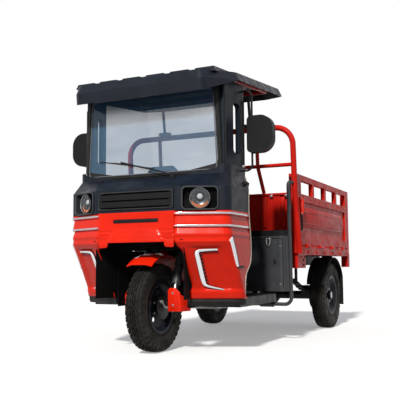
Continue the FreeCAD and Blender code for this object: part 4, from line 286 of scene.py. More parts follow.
NODES_BY_LOOK = (
    (TYRE, "front_tyre rear_tyre_left rear_tyre_right"),
    (WHEEL, "front_rim rear_rim_left rear_rim_right"),
    (STEEL, "fork"),
    (RED, "front_mudguard fork_guards corner_panels front_panel"),
    (BED_RED, "roof_frame bed_floor head_board hoop side_gate_left side_gate_right gate_fence_left "
              "gate_fence_right tail_gate"),
    (NAVY, "cowl cab_pillars roof"),
    (BLACK_STEEL, "handlebar frame floor_pan silencer rear_axle leaf_springs"),
    (BLACK_PLASTIC, "grille mirrors dashboard seat_shelf rear_mudguards"),
    (GREY, "fork_springs seat_box side_covers side_guards"),
    # The wheel housing is near black: painted shade inside the wheel arch
    (BLACK_AND_PAINTED_SHADE, "wheel_housing"),
    (LENS, "headlamps"),
    (LAMP_WHITE, "running_lamps"),
    (CHROME, "trim_strips"),
    (SCREEN, "windscreen"),
    (RUBBER, "windscreen_seal"),
    (VINYL, "seat_cushion seat_back"),
    (ALLOY, "engine"),
    (RED_LENS, "tail_lamps"),
)
NODE_LOOKS = {name: look for look, names in NODES_BY_LOOK for name in names.split()}

# Parts of a node with a second look: the look and the box they lie in, from under the front axle
SECOND_LOOKS = {
    "roof_frame": (BLACK_STEEL, (-0.4, 0.7, 1.5), (0.4, 0.95, 1.76)),
    "fork": (BLACK_STEEL, (-0.2, -0.1, 0.5), (0.2, 0.4, 1.00)),
}
EDGE_WIDTH = 0.0022
EDGE_ANGLE = math.radians(40)


def repaint(name, material, low, high):
    """Gives the faces of a node that lie in a box another look."""
    node = frame["nodes"][name]
    node.data.materials.append(material)
    low, high = at(*low), at(*high)
    for face in node.data.polygons:
        middle = node.matrix_world @ face.center
        if all(low[axis] < middle[axis] < high[axis] for axis in range(3)):
            face.material_index = len(node.data.materials) - 1


def dress_nodes():
    """Gives each CAD node its look and softens its edges."""
    for name, node in frame["nodes"].items():
        node.data.materials.clear()
        node.data.materials.append(NODE_LOOKS[name])
        if name in SECOND_LOOKS:
            repaint(name, *SECOND_LOOKS[name])
        bevel = node.modifiers.new("soft_edges", "BEVEL")
        bevel.width = EDGE_WIDTH
        bevel.segments = 2
        bevel.limit_method = "ANGLE"
        bevel.angle_limit = EDGE_ANGLE
        bevel.harden_normals = True


# Building pieces from mesh code

SHARP_ANGLE = math.radians(25)
MERGE_DISTANCE = 1e-6
BEND_STEPS = 7
BEND_LIMIT = 0.49


class Piece:
    """Gathers shapes into one mesh that rides on a CAD body."""

    def __init__(self, name, body="chassis"):
        self.name = name
        self.body = body
        self.mesh = bmesh.new()
        self.looks = []

    def add(self, corners, faces, material):
        """New faces over new corners, turned outward."""
        made = [self.mesh.verts.new(corner) for corner in corners]
        if material not in self.looks:
            self.looks.append(material)
        new = []
        for face in faces:
            built = self.mesh.faces.new([made[i] for i in face])
            built.material_index = self.looks.index(material)
            new.append(built)
        bmesh.ops.recalc_face_normals(self.mesh, faces=new)
        return new

    def rounded(self, faces, radius):
        """Rounds every sharp edge of some new faces."""
        edges = {edge for face in faces for edge in face.edges
                 if len(edge.link_faces) == 2 and edge.calc_face_angle(0) > SHARP_ANGLE}
        bmesh.ops.bevel(self.mesh, geom=list(edges), offset=radius, segments=2, profile=0.5,
                        affect="EDGES", clamp_overlap=True)

    def slab(self, outline, thickness, origin, plane, material, soft=0.001):
        """An outline in a plane through origin, pushed out towards the plane's viewer."""
        across, up = (Vector(direction).normalized() for direction in plane)
        rise = across.cross(up) * thickness
        back = [Vector(origin) + across * x + up * y for x, y in outline]
        front = [corner + rise for corner in back]
        count = len(outline)
        faces = [tuple(range(count)), tuple(range(2 * count - 1, count - 1, -1))]
        faces += [(i, i + count, (i + 1) % count + count, (i + 1) % count) for i in range(count)]
        new = self.add(front + back, faces, material)
        if soft:
            self.rounded(new, soft)

    def box(self, low, high, material, soft=0.002):
        """A block between two opposite corners."""
        size = high - low
        corner = (low.x, high.y, low.z)
        self.slab(rectangle(0, 0, size.x, size.z), size.y, corner, FROM_FRONT, material, soft)

    def tube(self, points, radius, material, bend=0.0, sides=8, closed=False):
        """A round tube along straight runs with rounded corners."""
        path = rounded_path(points, bend, closed)
        rings = []
        normal = None
        count = len(path)
        for index, here in enumerate(path):
            before = path[(index - 1) % count] if closed or index else here
            after = path[(index + 1) % count] if closed or index < count - 1 else here
            along = (after - before).normalized()
            if normal is None:
                normal = along.orthogonal().normalized()
            normal = (normal - along * normal.dot(along)).normalized()
            side = along.cross(normal)
            rings.append([here + (normal * math.cos(turn) + side * math.sin(turn)) * radius
                          for turn in (2 * math.pi * step / sides for step in range(sides))])
        self.skin(rings, material, closed, caps=not closed)

    def skin(self, rings, material, closed=False, caps=False, wrap=True, inside=None):
        """Faces between rings of equally many points; an open skin faces away from the inside point."""
        sides = len(rings[0])
        corners = [corner for ring in rings for corner in ring]
        faces = []
        count = len(rings)
        for index in range(count if closed else count - 1):
            here = index * sides
            there = (index + 1) % count * sides
            for step in range(sides if wrap else sides - 1):
                turn = (step + 1) % sides
                faces.append((here + step, here + turn, there + turn, there + step))
        if caps:
            faces.append(tuple(range(sides - 1, -1, -1)))
            faces.append(tuple((count - 1) * sides + step for step in range(sides)))
        new = self.add(corners, faces, material)
        if inside is not None:
            middle = sum((face.calc_center_median() for face in new), Vector()) / len(new)
            nearest = min(new, key=lambda face: (face.calc_center_median() - middle).length)
            if nearest.normal.dot(nearest.calc_center_median() - inside) < 0:
                bmesh.ops.reverse_faces(self.mesh, faces=new)

    def lathe(self, profile, centre, axis, material, steps=48, loop=True):
        """A profile of (distance along the axis, radius), turned round the axis; a loop closes on itself."""
        axis = Vector(axis).normalized()
        normal = axis.orthogonal().normalized()
        side = axis.cross(normal)
        rings = []
        for step in range(steps):
            turn = 2 * math.pi * step / steps
            outward = normal * math.cos(turn) + side * math.sin(turn)
            rings.append([centre + axis * along + outward * radius for along, radius in profile])
        self.skin(rings, material, closed=True, wrap=loop)

    def knob(self, profile, centre, axis, material, steps=24):
        """A turned solid whose profile starts and ends on the axis."""
        self.lathe(profile, centre, axis, material, steps, loop=False)

    def bolt(self, place, direction, size, material=STEEL):
        """A hexagon head on a washer."""
        head = [(0, 0), (0, size * 1.25), (size * 0.2, size * 1.25), (size * 0.2, size), (size * 0.8, size),
                (size, size * 0.85), (size, 0)]
        self.knob(head, place, direction, material, steps=6)

    def done(self, replaces=(), angle=40):
        """The finished object, shaded smooth but for its sharp edges."""
        bmesh.ops.remove_doubles(self.mesh, verts=self.mesh.verts, dist=MERGE_DISTANCE)
        data = bpy.data.meshes.new(self.name)
        self.mesh.to_mesh(data)
        self.mesh.free()
        for material in self.looks:
            data.materials.append(material)
        data.polygons.foreach_set("use_smooth", [True] * len(data.polygons))
        data.set_sharp_from_angle(angle=math.radians(angle))
        thing = placed(self.name, data)
        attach(thing, self.body)
        if replaces:
            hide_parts(*replaces)
        return thing


def rounded_path(points, bend, closed=False):
    """The points with each corner replaced by a short curve."""
    if not bend:
        return points
    path = []
    count = len(points)
    for index, here in enumerate(points):
        if not closed and index in (0, count - 1):
            path.append(here)
            continue
        before = points[index - 1] - here
        after = points[(index + 1) % count] - here
        reach = min(bend, before.length * BEND_LIMIT, after.length * BEND_LIMIT)
        start = here + before.normalized() * reach
        end = here + after.normalized() * reach
        for step in range(BEND_STEPS):
            share = step / (BEND_STEPS - 1)
            path.append(start.lerp(here, share).lerp(here.lerp(end, share), share))
    return path


def thickened(thing, depth):
    """Gives a skin its thickness, inward from its outer face."""
    shell = thing.modifiers.new("thickness", "SOLIDIFY")
    shell.thickness = depth
    shell.offset = -1


def rectangle(left, low, right, high):
    """The outline of a rectangle."""
    return [(left, low), (right, low), (right, high), (left, high)]


def rounded_rectangle(half_width, half_height, corner, steps=6):
    """The outline of a rectangle with round corners, as (across, up)."""
    outline = []
    for quarter, (x, y) in enumerate(((1, 1), (-1, 1), (-1, -1), (1, -1))):
        for step in range(steps + 1):
            turn = math.pi / 2 * (quarter + step / steps)
            outline.append((x * (half_width - corner) + corner * math.cos(turn),
                            y * (half_height - corner) + corner * math.sin(turn)))
    return outline


def mirrored(outline, side):
    """The outline as it lies on a side."""
    return [(x * side, z) for x, z in outline]


def landed(name, start, direction):
    """Where a straight line first meets a CAD node."""
    node = frame["nodes"][name]
    inverse = node.matrix_world.inverted()
    found, place, _, _ = node.ray_cast(inverse @ start, inverse.to_3x3() @ Vector(direction))
    if not found:
        raise ValueError(f"the line misses {name}")
    return node.matrix_world @ place


# Tyres

TREAD_PITCHES = 40
TREAD_PITCH = 2 * math.pi / TREAD_PITCHES
TREAD_GAP = 0.16 * TREAD_PITCH
TREAD_DEPTH = 0.009
TREAD_ROOT = 0.004
CROWN_DROP = 0.009
BEAD_RADIUS = 0.154
BEAD_HALF_WIDTH = 0.044
CARCASS_THICKNESS = 0.006

# Each row of blocks: inner edge, outer edge, gap in gaps, step round in pitches and how much lower
TREAD_ROWS = ((0.0015, 0.0135, 1.0, 0.0, 0.0), (0.017, 0.034, 1.2, 0.0, 0.0006),
              (0.0375, 0.0585, 1.3, 0.2, 0.001))
LUG_SECTION = ((0.0575, 0.2755), (0.0604, 0.266), (0.0622, 0.256), (0.0618, 0.248))
LUG_EDGES = ((-0.2, 0.004), (-0.16, 0), (0.16, 0), (0.2, 0.004))
LUG_STEP = 0.32


def tyre_profile(side):
    """From the bead over the sidewall to the middle of the tread, as (across, radius)."""
    shoulder = TYRE_RADIUS - TREAD_DEPTH
    bead = [(-0.004, 0.001), (0, 0.018), (0.004, 0.024), (0.0045, 0.03), (0.002, 0.032)]
    half = [(BEAD_HALF_WIDTH + across, BEAD_RADIUS + radius) for across, radius in bead]
    half += [(0.056, 0.195), (0.0605, 0.212), (0.0612, 0.214), (0.0612, 0.218), (0.0602, 0.22),
             (0.0618, 0.236), (0.06, 0.25), (0.0592, 0.256), (0.056, 0.266), (0.05, shoulder - 0.003),
             (0.036, shoulder - 0.0005), (0.018, shoulder), (0, shoulder)]
    return mirrored(half, side)


def round_wheel(across, radius, turn):
    """A place by the wheel's middle: across it, and at a radius and an angle from the top."""
    return Vector((across, radius * math.sin(turn), radius * math.cos(turn)))


def tread_block(piece, centre, turn, gap, across, skew, tall):
    """One raised block of a pitch less a gap at each end; across gives its two edges."""
    foot = TYRE_RADIUS - TREAD_DEPTH - TREAD_ROOT
    corners = []
    for radius, taper in ((foot, 0.0), (tall, 0.0016)):
        for edge, inward in zip(across, (1, -1)):
            for angle, shift in ((gap, 1), (TREAD_PITCH - gap, -1)):
                lean = turn + angle + shift * taper / radius + skew * (edge - across[0])
                reach = radius - CROWN_DROP * (abs(edge) / TYRE_HALF_WIDTH) ** 4
                corners.append(centre + round_wheel(edge + inward * taper, reach, lean))
    faces = [(0, 1, 3, 2), (4, 6, 7, 5), (0, 4, 5, 1), (2, 3, 7, 6), (0, 2, 6, 4), (1, 5, 7, 3)]
    piece.add(corners, faces, TYRE)


def shoulder_lug(piece, centre, turn, side):
    """A short rib that runs from the shoulder blocks down the sidewall."""
    rings = []
    for across, radius in LUG_SECTION:
        rings.append([centre + round_wheel((across - inset) * side, radius, turn + angle * TREAD_PITCH)
                      for angle, inset in LUG_EDGES])
    piece.skin(rings, TYRE, wrap=False)


def tyre(node, body, centre):
    """A block-tread tyre on the CAD tyre's place and size."""
    piece = Piece(node + "_tread", body)
    profile = tyre_profile(-1) + tyre_profile(1)[::-1][1:]
    inner = [(across * 0.86, radius - CARCASS_THICKNESS) for across, radius in profile[::-1]]
    piece.lathe(profile + inner, centre, LEFT, TYRE, steps=120)
    for index in range(TREAD_PITCHES):
        for side in (-1, 1):
            turn = TREAD_PITCH * (index + (0.5 if side > 0 else 0))
            for row, skew in zip(TREAD_ROWS, (9, -6 * side, -3 * side)):
                inner_edge, outer_edge, spacing, step, lower = row
                across = sorted((inner_edge * side, outer_edge * side))
                tread_block(piece, centre, turn + TREAD_PITCH * step, TREAD_GAP * spacing, across, skew,
                            TYRE_RADIUS - lower)
            shoulder_lug(piece, centre, turn + TREAD_PITCH * LUG_STEP, side)
    piece.done(replaces=[node], angle=30)


def rear_centre(side):
    """The middle of a rear wheel."""
    return at(REAR_HALF_TRACK * side, WHEELBASE, AXLE_HEIGHT)


def wheels():
    """All three tyres."""
    tyre("front_tyre", "front_wheel", at(0, 0, AXLE_HEIGHT))
    for side in SIDES:
        tyre(sided("rear_tyre", side), sided("rear_wheel", side), rear_centre(side))


# Fascia: one pressed skin from the middle round each corner, with its lamps

# In a plan view: the flat front and its end, the side, and where the facet between them meets the side
FASCIA_FRONT = -0.252
FASCIA_SIDE = 0.588
FLAT_END = 0.272
CORNER_BACK = -0.118
CORNER_RADIUS = 0.06
FACET_TURN = math.atan2(CORNER_BACK - FASCIA_FRONT, FASCIA_SIDE - FLAT_END)
FACET_LENGTH = math.hypot(CORNER_BACK - FASCIA_FRONT, FASCIA_SIDE - FLAT_END)
CORNER_REACH = CORNER_RADIUS * math.tan((math.pi / 2 - FACET_TURN) / 2)
CORNER_ARC = CORNER_RADIUS * (math.pi / 2 - FACET_TURN)
STRAIGHT = FACET_LENGTH - CORNER_REACH
CORNER_END = STRAIGHT + CORNER_ARC

# Each is a list of (height, value), from top to bottom
SLIP = [(0.89, 0), (0.7, 0), (0.59, 0.07), (0.4, 0.18), (0.345, 0.2)]
REAR_EDGE = [(0.89, 0.19), (0.8, 0.205), (0.7, 0.222), (0.62, 0.22), (0.57, 0.208), (0.53, 0.165),
             (0.5, 0.13), (0.45, 0.117), (0.345, 0.112)]
ARCH_EDGE = [(0.72, 0.272), (0.668, 0.286), (0.655, 0.298), (0.64, 0.306), (0.427, 0.309), (0.405, 0.296),
             (0.385, 0.278), (0.345, 0.272)]
PRESSING = [(0.89, 0), (0.863, 0), (0.86, -0.009), (0.806, 0), (0.79, 0), (0.786, -0.011), (0.748, 0.001),
            (0.738, 0.0015), (0.727, -0.003), (0.7, 0), (0.412, 0), (0.388, 0.006), (0.345, 0.006)]
CORNER_ROWS = [0.89, 0.884, 0.8645, 0.863, 0.8612, 0.859, 0.846, 0.832, 0.819, 0.808, 0.804, 0.7912, 0.789,
               0.787, 0.784, 0.772, 0.76, 0.751, 0.745, 0.739, 0.733, 0.728, 0.72, 0.7, 0.69, 0.682,
               0.676, 0.669, 0.664, 0.658, 0.65, 0.64, 0.62, 0.605, 0.59, 0.57, 0.55, 0.53, 0.515,
               0.5, 0.475, 0.45, 0.43, 0.417, 0.41, 0.4, 0.392, 0.386, 0.38, 0.368, 0.356, 0.345]
FRONT_ROWS = [0.89, 0.884, 0.852, 0.849, 0.848, 0.846, 0.824, 0.822, 0.821, 0.818, 0.8, 0.789, 0.784,
              0.781, 0.777, 0.772, 0.767, 0.76, 0.75, 0.745, 0.74, 0.728, 0.723, 0.718, 0.713, 0.704,
              0.7]
FRONT_COLUMNS = [0.272, 0.262, 0.235, 0.21, 0.19, 0.172, 0.1665, 0.1645, 0.16, 0.145, 0.12, 0.09, 0.06,
                 0.03]
FOOT_HEIGHT = 0.345

# Pressings: the lamp's recess, the centre panel's bulge with the folds beside it, and the strip's recess
RECESS_DEPTH = 0.009
RECESS_TOP = 0.66
RECESS_TALL = 0.26
BULGE_HALF_WIDTH = 0.156
BULGE_EDGE = 0.004
BULGE_TOP = 0.784
FOLDS = (0.772, 0.745, 0.718)
FOLD_DEPTH = 0.0022
STRIP_HALF_WIDTH = 0.1655
STRIP_DEPTH = 0.003
CREASE_DEPTH = 0.0015
SKIN_THICKNESS = 0.006


def between(table, height):
    """The table's value at a height."""
    for (top, first), (low, last) in zip(table, table[1:]):
        if height >= low:
            return first + (last - first) * (top - height) / (top - low) if height <= top else first
    return table[-1][1]


def ease(value, start, end):
    """Nought before start, one after end and smooth between."""
    share = min(1.0, max(0.0, (value - start) / (end - start)))
    return share * share * (3 - 2 * share)


def spaced(start, end, steps):
    """Even places from start up to, but without, the end."""
    return [start + (end - start) * step / steps for step in range(steps)]


def wrap(run, height, proud=0.0):
    """A place on the fascia's corner: run is the distance round from the flat front's end."""
    if run <= STRAIGHT:
        turn = FACET_TURN
        x = FLAT_END + run * math.cos(turn)
        y = FASCIA_FRONT + run * math.sin(turn)
    elif run <= CORNER_END:
        turn = FACET_TURN + (run - STRAIGHT) / CORNER_RADIUS
        x = FASCIA_SIDE - CORNER_RADIUS + CORNER_RADIUS * math.sin(turn)
        y = CORNER_BACK + CORNER_REACH - CORNER_RADIUS * math.cos(turn)
    else:
        turn = math.pi / 2
        x = FASCIA_SIDE
        y = CORNER_BACK + CORNER_REACH + run - CORNER_END
    return Vector((x + proud * math.sin(turn), y + between(SLIP, height) - proud * math.cos(turn), height))


def recess(run, height):
    """How deep the panel is pressed in round the bracket lamp."""
    x = FLAT_END + run * math.cos(FACET_TURN)
    lean = (RECESS_TOP - height) / RECESS_TALL
    left = 0.356 + 0.006 * lean
    inside = ease(x, left, left + 0.01) * ease(height, 0.396, 0.412) * (1 - ease(height, 0.664, 0.674))
    return RECESS_DEPTH * inside * (1 - ease(x, 0.5, 0.552 + 0.03 * lean))


def cheek_run(y, height):
    """The distance round the fascia's corner at which its side reaches back to y."""
    return CORNER_END + y - between(SLIP, height) - CORNER_BACK - CORNER_REACH


def run_end(height):
    """The distance round the corner to the doorway's edge."""
    return cheek_run(between(REAR_EDGE, height), height)


def flipped(point, side):
    """A place of the left side, as it lies on a side of the model."""
    return at(point.x * side, point.y, point.z)


def corner_skin(side):
    """One corner of the fascia, as a pressed and folded skin."""
    piece = Piece(sided("corner_skin", side))
    rings = []
    lamp_start = 0.105
    for height in CORNER_ROWS:
        start = (between(ARCH_EDGE, height) - FLAT_END) / math.cos(FACET_TURN)
        end = run_end(height)
        runs = spaced(start, lamp_start, 4) + spaced(lamp_start, STRAIGHT, 26)
        runs += spaced(STRAIGHT, CORNER_END, 8) + spaced(CORNER_END, end, 12) + [end]
        ring = []
        for run in runs:
            proud = between(PRESSING, height) * (1 - 0.6 * ease(run, end - 0.03, end))
            ring.append(flipped(wrap(run, height, proud - recess(run, height)), side))
        rings.append(ring[::side])
    piece.skin(rings, RED, wrap=False, inside=at(0, 0.1, 0.6))
    thickened(piece.done(replaces=["corner_panels"], angle=32), SKIN_THICKNESS)


def front_relief(x, height):
    """How far the centre panel stands back from its flat: bulge, folds, the strip's recess and a crease."""
    half = BULGE_HALF_WIDTH + 0.044 * (0.78 - height) / 0.08
    swell = 0.005 + 0.011 * ease(BULGE_TOP - height, 0.0, 0.09)
    bulge = swell * (1 - ease(abs(x), half - BULGE_EDGE, half + BULGE_EDGE))
    bulge *= 1 - ease(height, BULGE_TOP - 2 * BULGE_EDGE, BULGE_TOP)
    beside = abs(x) > half + 2 * BULGE_EDGE
    fold = FOLD_DEPTH * beside * any(abs(height - line) < BULGE_EDGE for line in FOLDS)
    sunk = STRIP_DEPTH * (abs(x) < STRIP_HALF_WIDTH) * (0.8215 < height < 0.8485)
    crease = CREASE_DEPTH * ease(height, 0.731, 0.739) * (1 - ease(height, 0.786, 0.812))
    return sunk - bulge - crease + fold


def front_skin():
    """The centre panel, with the strip's recess and the proud trapezoid above the wheel arch."""
    piece = Piece("front_skin")
    columns = [-x for x in FRONT_COLUMNS] + [0] + FRONT_COLUMNS[::-1]
    rings = [[at(x, FASCIA_FRONT + front_relief(x, height), height) for x in columns]
             for height in FRONT_ROWS]
    piece.skin(rings, RED, wrap=False, inside=at(0, 0.1, 0.8))
    thickened(piece.done(replaces=["front_panel"], angle=30), SKIN_THICKNESS)


def front_trims():
    """The two cheeks above the wheel arch and the blank name strip."""
    piece = Piece("front_trims")
    cheek = [(0.272, 0.703), (0.272, 0.672), (0.262, 0.667), (0.216, 0.67), (0.209, 0.676), (0.202, 0.703)]
    for side in SIDES:
        piece.slab(mirrored(cheek, side), 0.007, at(0, FASCIA_FRONT + 0.0065, 0), FROM_FRONT, RED, 0.0012)
    piece.box(at(-0.1635, FASCIA_FRONT + 0.0005, 0.8225), at(0.1635, FASCIA_FRONT + 0.004, 0.8475),
              BLACK_PLASTIC, 0.001)
    piece.done(angle=35)


def corner_trims(side):
    """The piping along the doorway and the band along the foot of one corner."""
    piece = Piece(sided("corner_trims", side))
    rear = [flipped(wrap(run_end(height), height), side) for height, _ in REAR_EDGE]
    top = [at(x * side, y, z) for x, y, z in ((0.561, 0.207, 1.128), (0.5875, 0.192, 1.04))]
    piece.tube(top + rear, 0.0042, BEIGE, bend=0.03)
    band = []
    runs = [step * STRAIGHT / 5 - 0.002 for step in range(5)]
    runs += [STRAIGHT + CORNER_ARC * step / 7 for step in range(8)] + [run_end(FOOT_HEIGHT) - 0.004]
    for height, proud in ((0.352, -0.0065), (0.342, 0.001), (0.318, 0.0), (0.306, -0.006), (0.304, -0.016)):
        places = [wrap(run, FOOT_HEIGHT, proud) for run in runs]
        band.append([flipped(Vector((place.x, place.y, height)), side) for place in places])
    piece.skin(band, BLACK_PLASTIC, wrap=False)
    piece.done()


def chrome_strips(side):
    """Two bright strips round one corner, tapered at both ends."""
    piece = Piece(sided("chrome_strips", side))
    start, taper_start, taper_end = 0.004, 0.028, 0.014
    for low, high in ((0.866, 0.88), (0.79, 0.804)):
        middle = (low + high) / 2
        profile = [(high, -0.001), (high - 0.0015, 0.0035), (middle, 0.0052), (low + 0.0015, 0.0035),
                   (low, -0.001)]
        end = run_end(middle) - 0.014
        runs = [start, 0.012] + spaced(0.03, STRAIGHT, 6)
        runs += [STRAIGHT + CORNER_ARC * step / 8 for step in range(9)] + [end - 0.06, end - 0.012, end]
        rings = []
        for run in runs:
            taper = min(1.0, 0.35 + (run - start) / taper_start, 0.35 + (end - run) / taper_end)
            section = [(middle + (height - middle) * taper, proud * taper if proud > 0 else proud)
                       for height, proud in profile]
            rings.append([flipped(wrap(run, height, proud), side) for height, proud in section])
        piece.skin(rings, CHROME, caps=True)
    piece.done(replaces=["trim_strips"], angle=50)


def fascia_trims(side):
    """The piping, band and bright strips of one corner."""
    corner_trims(side)
    chrome_strips(side)


def on_panel(x, height, proud):
    """A place on the corner's front facet by its distance from the middle."""
    return wrap((x - FLAT_END) / math.cos(FACET_TURN), height, proud)


def on_cheek(y, height, proud):
    """A place on the corner's side by its distance behind the axle."""
    return wrap(cheek_run(y, height), height, proud)


def lamp_ribbon(piece, side, place, path, widths, front, back, material):
    """A bar along a path of (x or y, height), as wide as widths say, from back to front of the panel."""
    rings = []
    edge = front - 0.0015
    section = ((-1, back), (-1, edge), (-0.8, front), (0.8, front), (1, edge), (1, back))
    for index, here in enumerate(path):
        before = Vector(path[max(0, index - 1)])
        after = Vector(path[min(len(path) - 1, index + 1)])
        along = (after - before).normalized()
        across = Vector((-along.y, along.x)) * (widths[index] / 2)
        spots = [(Vector(here) + across * shift, proud) for shift, proud in section]
        rings.append([flipped(place(spot.x, spot.y, proud), side) for spot, proud in spots])
    piece.skin(rings, material, caps=True)


BRACKET = [(0.506, 0.65), (0.45, 0.6485), (0.4, 0.645), (0.388, 0.638), (0.3825, 0.625),
           (0.3812, 0.59), (0.3795, 0.53), (0.3785, 0.48), (0.379, 0.448), (0.384, 0.434),
           (0.398, 0.4255), (0.43, 0.4165), (0.486, 0.4035)]
BRACKET_WIDTHS = [0.01, 0.012, 0.015, 0.019, 0.0225, 0.024, 0.024, 0.0238, 0.022, 0.019, 0.013, 0.011,
                  0.006]
BRACKET_RIM = 0.006
SLOTS = [(0.403, 0.64), (0.401, 0.6), (0.399, 0.54), (0.3985, 0.48), (0.401, 0.44)]
SLOT_WIDTHS = [0.012, 0.016, 0.016, 0.015, 0.008]
SLANT = [(-0.1, 0.717), (-0.088, 0.7), (-0.058, 0.65), (-0.03, 0.6), (-0.012, 0.566),
         (0.001, 0.547)]
SLANT_WIDTHS = [0.036, 0.03, 0.027, 0.022, 0.017, 0.012]
SHADE_STEP = 0.014
SHADE_WIDTHS = [0.04, 0.04, 0.036, 0.03, 0.024, 0.016]
SLANT_FOOT = [(-0.006, 0.548), (0.012, 0.544), (0.06, 0.5455), (0.099, 0.547)]


def running_lamps(side):
    """The bracket-shaped lamp with its slotted backing, and the slanting side lamp with shade and foot."""
    piece = Piece(sided("running_lamps", side))
    rim_widths = [width + BRACKET_RIM for width in BRACKET_WIDTHS]
    shade = [(y + SHADE_STEP, z) for y, z in SLANT]
    for path, widths, front, back, material in (
            (BRACKET, BRACKET_WIDTHS, 0.006, -0.0095, LAMP_WHITE),
            (BRACKET, rim_widths, 0.001, -0.0098, BLACK_PLASTIC),
            (SLOTS, SLOT_WIDTHS, -0.006, -0.0098, BLACK_PLASTIC)):
        lamp_ribbon(piece, side, on_panel, path, widths, front, back, material)
    for step in range(9):
        height = 0.625 - 0.0215 * step
        x = 0.4015 - 0.004 * step / 9
        tilt = [(x - 0.006, height - 0.006), (x + 0.007, height + 0.006)]
        lamp_ribbon(piece, side, on_panel, tilt, [0.0045, 0.0045], -0.004, -0.0065, RED)
    for path, widths, front, material in (
            (SLANT, SLANT_WIDTHS, 0.006, LAMP_WHITE), (shade, SHADE_WIDTHS, 0.0025, BLACK_PLASTIC),
            (SLANT_FOOT, [0.014, 0.014, 0.012, 0.009], 0.0055, BLACK_PLASTIC)):
        lamp_ribbon(piece, side, on_cheek, path, widths, front, -0.002, material)
    piece.done(replaces=["running_lamps"])


# Lamps, grille and wheel arch

LAMP_TURN = math.radians(24)
LAMP_SIDE = 0.423
LAMP_FORWARD = -0.196
LAMP_HEIGHT = 0.965
PROJECTOR_RISE = 0.012

# The lamp's bezel: its half width, half height and corner, and its section as (inset, forward)
BEZEL_SIZE = (0.112, 0.072, 0.03)
BEZEL = ((-0.0012, 0.0008), (-0.0012, 0.007), (0.0004, 0.0082), (0.005, 0.0082), (0.0066, 0.0062),
         (0.0072, -0.033))

# Turned profiles of the lamp, as (forward, radius)
LAMP_RIM = [(-0.03, 0.06), (-0.008, 0.06), (-0.0045, 0.0612), (-0.0035, 0.0626), (-0.0055, 0.0638),
            (-0.03, 0.0638)]
LAMP_BOWL = [(-0.032, 0), (-0.032, 0.03), (-0.027, 0.046), (-0.017, 0.0585), (-0.01, 0.06),
             (-0.03, 0.0602), (-0.0326, 0.045), (-0.0326, 0)]
PROJECTOR = [(-0.0318, 0.025), (-0.022, 0.025), (-0.02, 0.023), (-0.021, 0.019), (-0.0318, 0.019)]
PROJECTOR_EYE = [(-0.028, 0), (-0.028, 0.0188), (-0.023, 0.018), (-0.016, 0.012), (-0.013, 0)]
LAMP_LENS = [(-0.0085, 0.0602), (-0.006, 0.05), (-0.0035, 0.035), (-0.0015, 0.018), (-0.001, 0),
             (-0.003, 0), (-0.0036, 0.018), (-0.0056, 0.035), (-0.008, 0.05), (-0.0105, 0.0598)]


def crescent():
    """The amber lamp under the projector, as (across, up)."""
    turns = [math.radians(205 + 130 * step / 16) for step in range(17)]
    outer = [(0.058 * math.cos(turn), 0.058 * math.sin(turn)) for turn in turns]
    return outer + [(0.0545 * math.cos(turn), 0.01 + 0.05 * math.sin(turn)) for turn in turns[::-1]]


def headlamp(side):
    """A round lamp deep in a satin bezel, with a projector and an amber crescent under it."""
    piece = Piece(sided("headlamp", side))
    centre = at(LAMP_SIDE * side, LAMP_FORWARD, LAMP_HEIGHT)
    axis = Vector((math.sin(LAMP_TURN) * side, -math.cos(LAMP_TURN), 0))
    across = Vector((math.cos(LAMP_TURN), math.sin(LAMP_TURN) * side, 0))
    plane = (across, UP)
    rings = []
    for inset, proud in BEZEL:
        outline = rounded_rectangle(*(size - inset for size in BEZEL_SIZE))
        rings.append([centre + across * x + UP * z + axis * proud for x, z in outline])
    piece.skin(rings, GREY)
    piece.slab(rounded_rectangle(0.1045, 0.0645, 0.023), 0.0008, centre - axis * 0.0335, plane, BLACK_AND_PAINTED_SHADE, 0)
    piece.lathe(LAMP_RIM, centre, axis, CHROME)
    piece.knob(LAMP_BOWL, centre, axis, BOWL, steps=48)
    piece.lathe(PROJECTOR, centre + UP * PROJECTOR_RISE, axis, BLACK_PLASTIC)
    piece.knob(PROJECTOR_EYE, centre + UP * PROJECTOR_RISE, axis, LAMP_WHITE, steps=48)
    piece.slab(crescent(), 0.006, centre - axis * 0.02, plane, AMBER, 0.0008)
    for step in range(-4, 5):
        x = 0.0125 * step
        reach = math.sqrt(0.057 ** 2 - x ** 2)
        middle = centre + across * x - axis * 0.009
        piece.tube([middle + UP * reach, middle - UP * reach * 0.2], 0.0006, LENS, sides=6)
    piece.lathe(LAMP_LENS, centre, axis, LENS)
    piece.done(replaces=["headlamps"], angle=35)


def grille_parts():
    """A near-black backing behind the grille's slots, painted shade inside them, and a thin raised frame
    round it.
    """
    piece = Piece("grille_parts")
    piece.box(at(-0.264, -0.244, 0.899), at(0.264, -0.2415, 1.031), BLACK_AND_PAINTED_SHADE, 0)
    corners = ((-0.268, 0.911), (0.268, 0.911), (0.268, 1.019), (-0.268, 1.019))
    piece.tube([at(x, -0.26, z) for x, z in corners], 0.0026, GREY, bend=0.01, closed=True)
    piece.done()


def arch_shade_liner():
    """Near-black walls and a roof that close the wheel arch behind the fascia: painted shade inside the
    arch.
    """
    piece = Piece("arch_shade_liner")
    half_width = 0.322
    wall = [(0.318, -0.212), (half_width, -0.211), (0.276, -0.041), (0.27, 0.118), (0.266, 0.118),
            (0.272, -0.042)]
    for side in SIDES:
        piece.slab(mirrored(wall, side), 0.365, at(0, 0, 0.347), FROM_ABOVE, BLACK_AND_PAINTED_SHADE, 0)
    piece.box(at(-half_width, -0.236, 0.712), at(half_width, -0.03, 0.716), BLACK_AND_PAINTED_SHADE, 0)
    piece.box(at(-half_width, -0.05, 0.652), at(half_width, -0.046, 0.712), BLACK_AND_PAINTED_SHADE, 0)
    piece.done(angle=35)


# Screen, wiper, pillars and mirrors

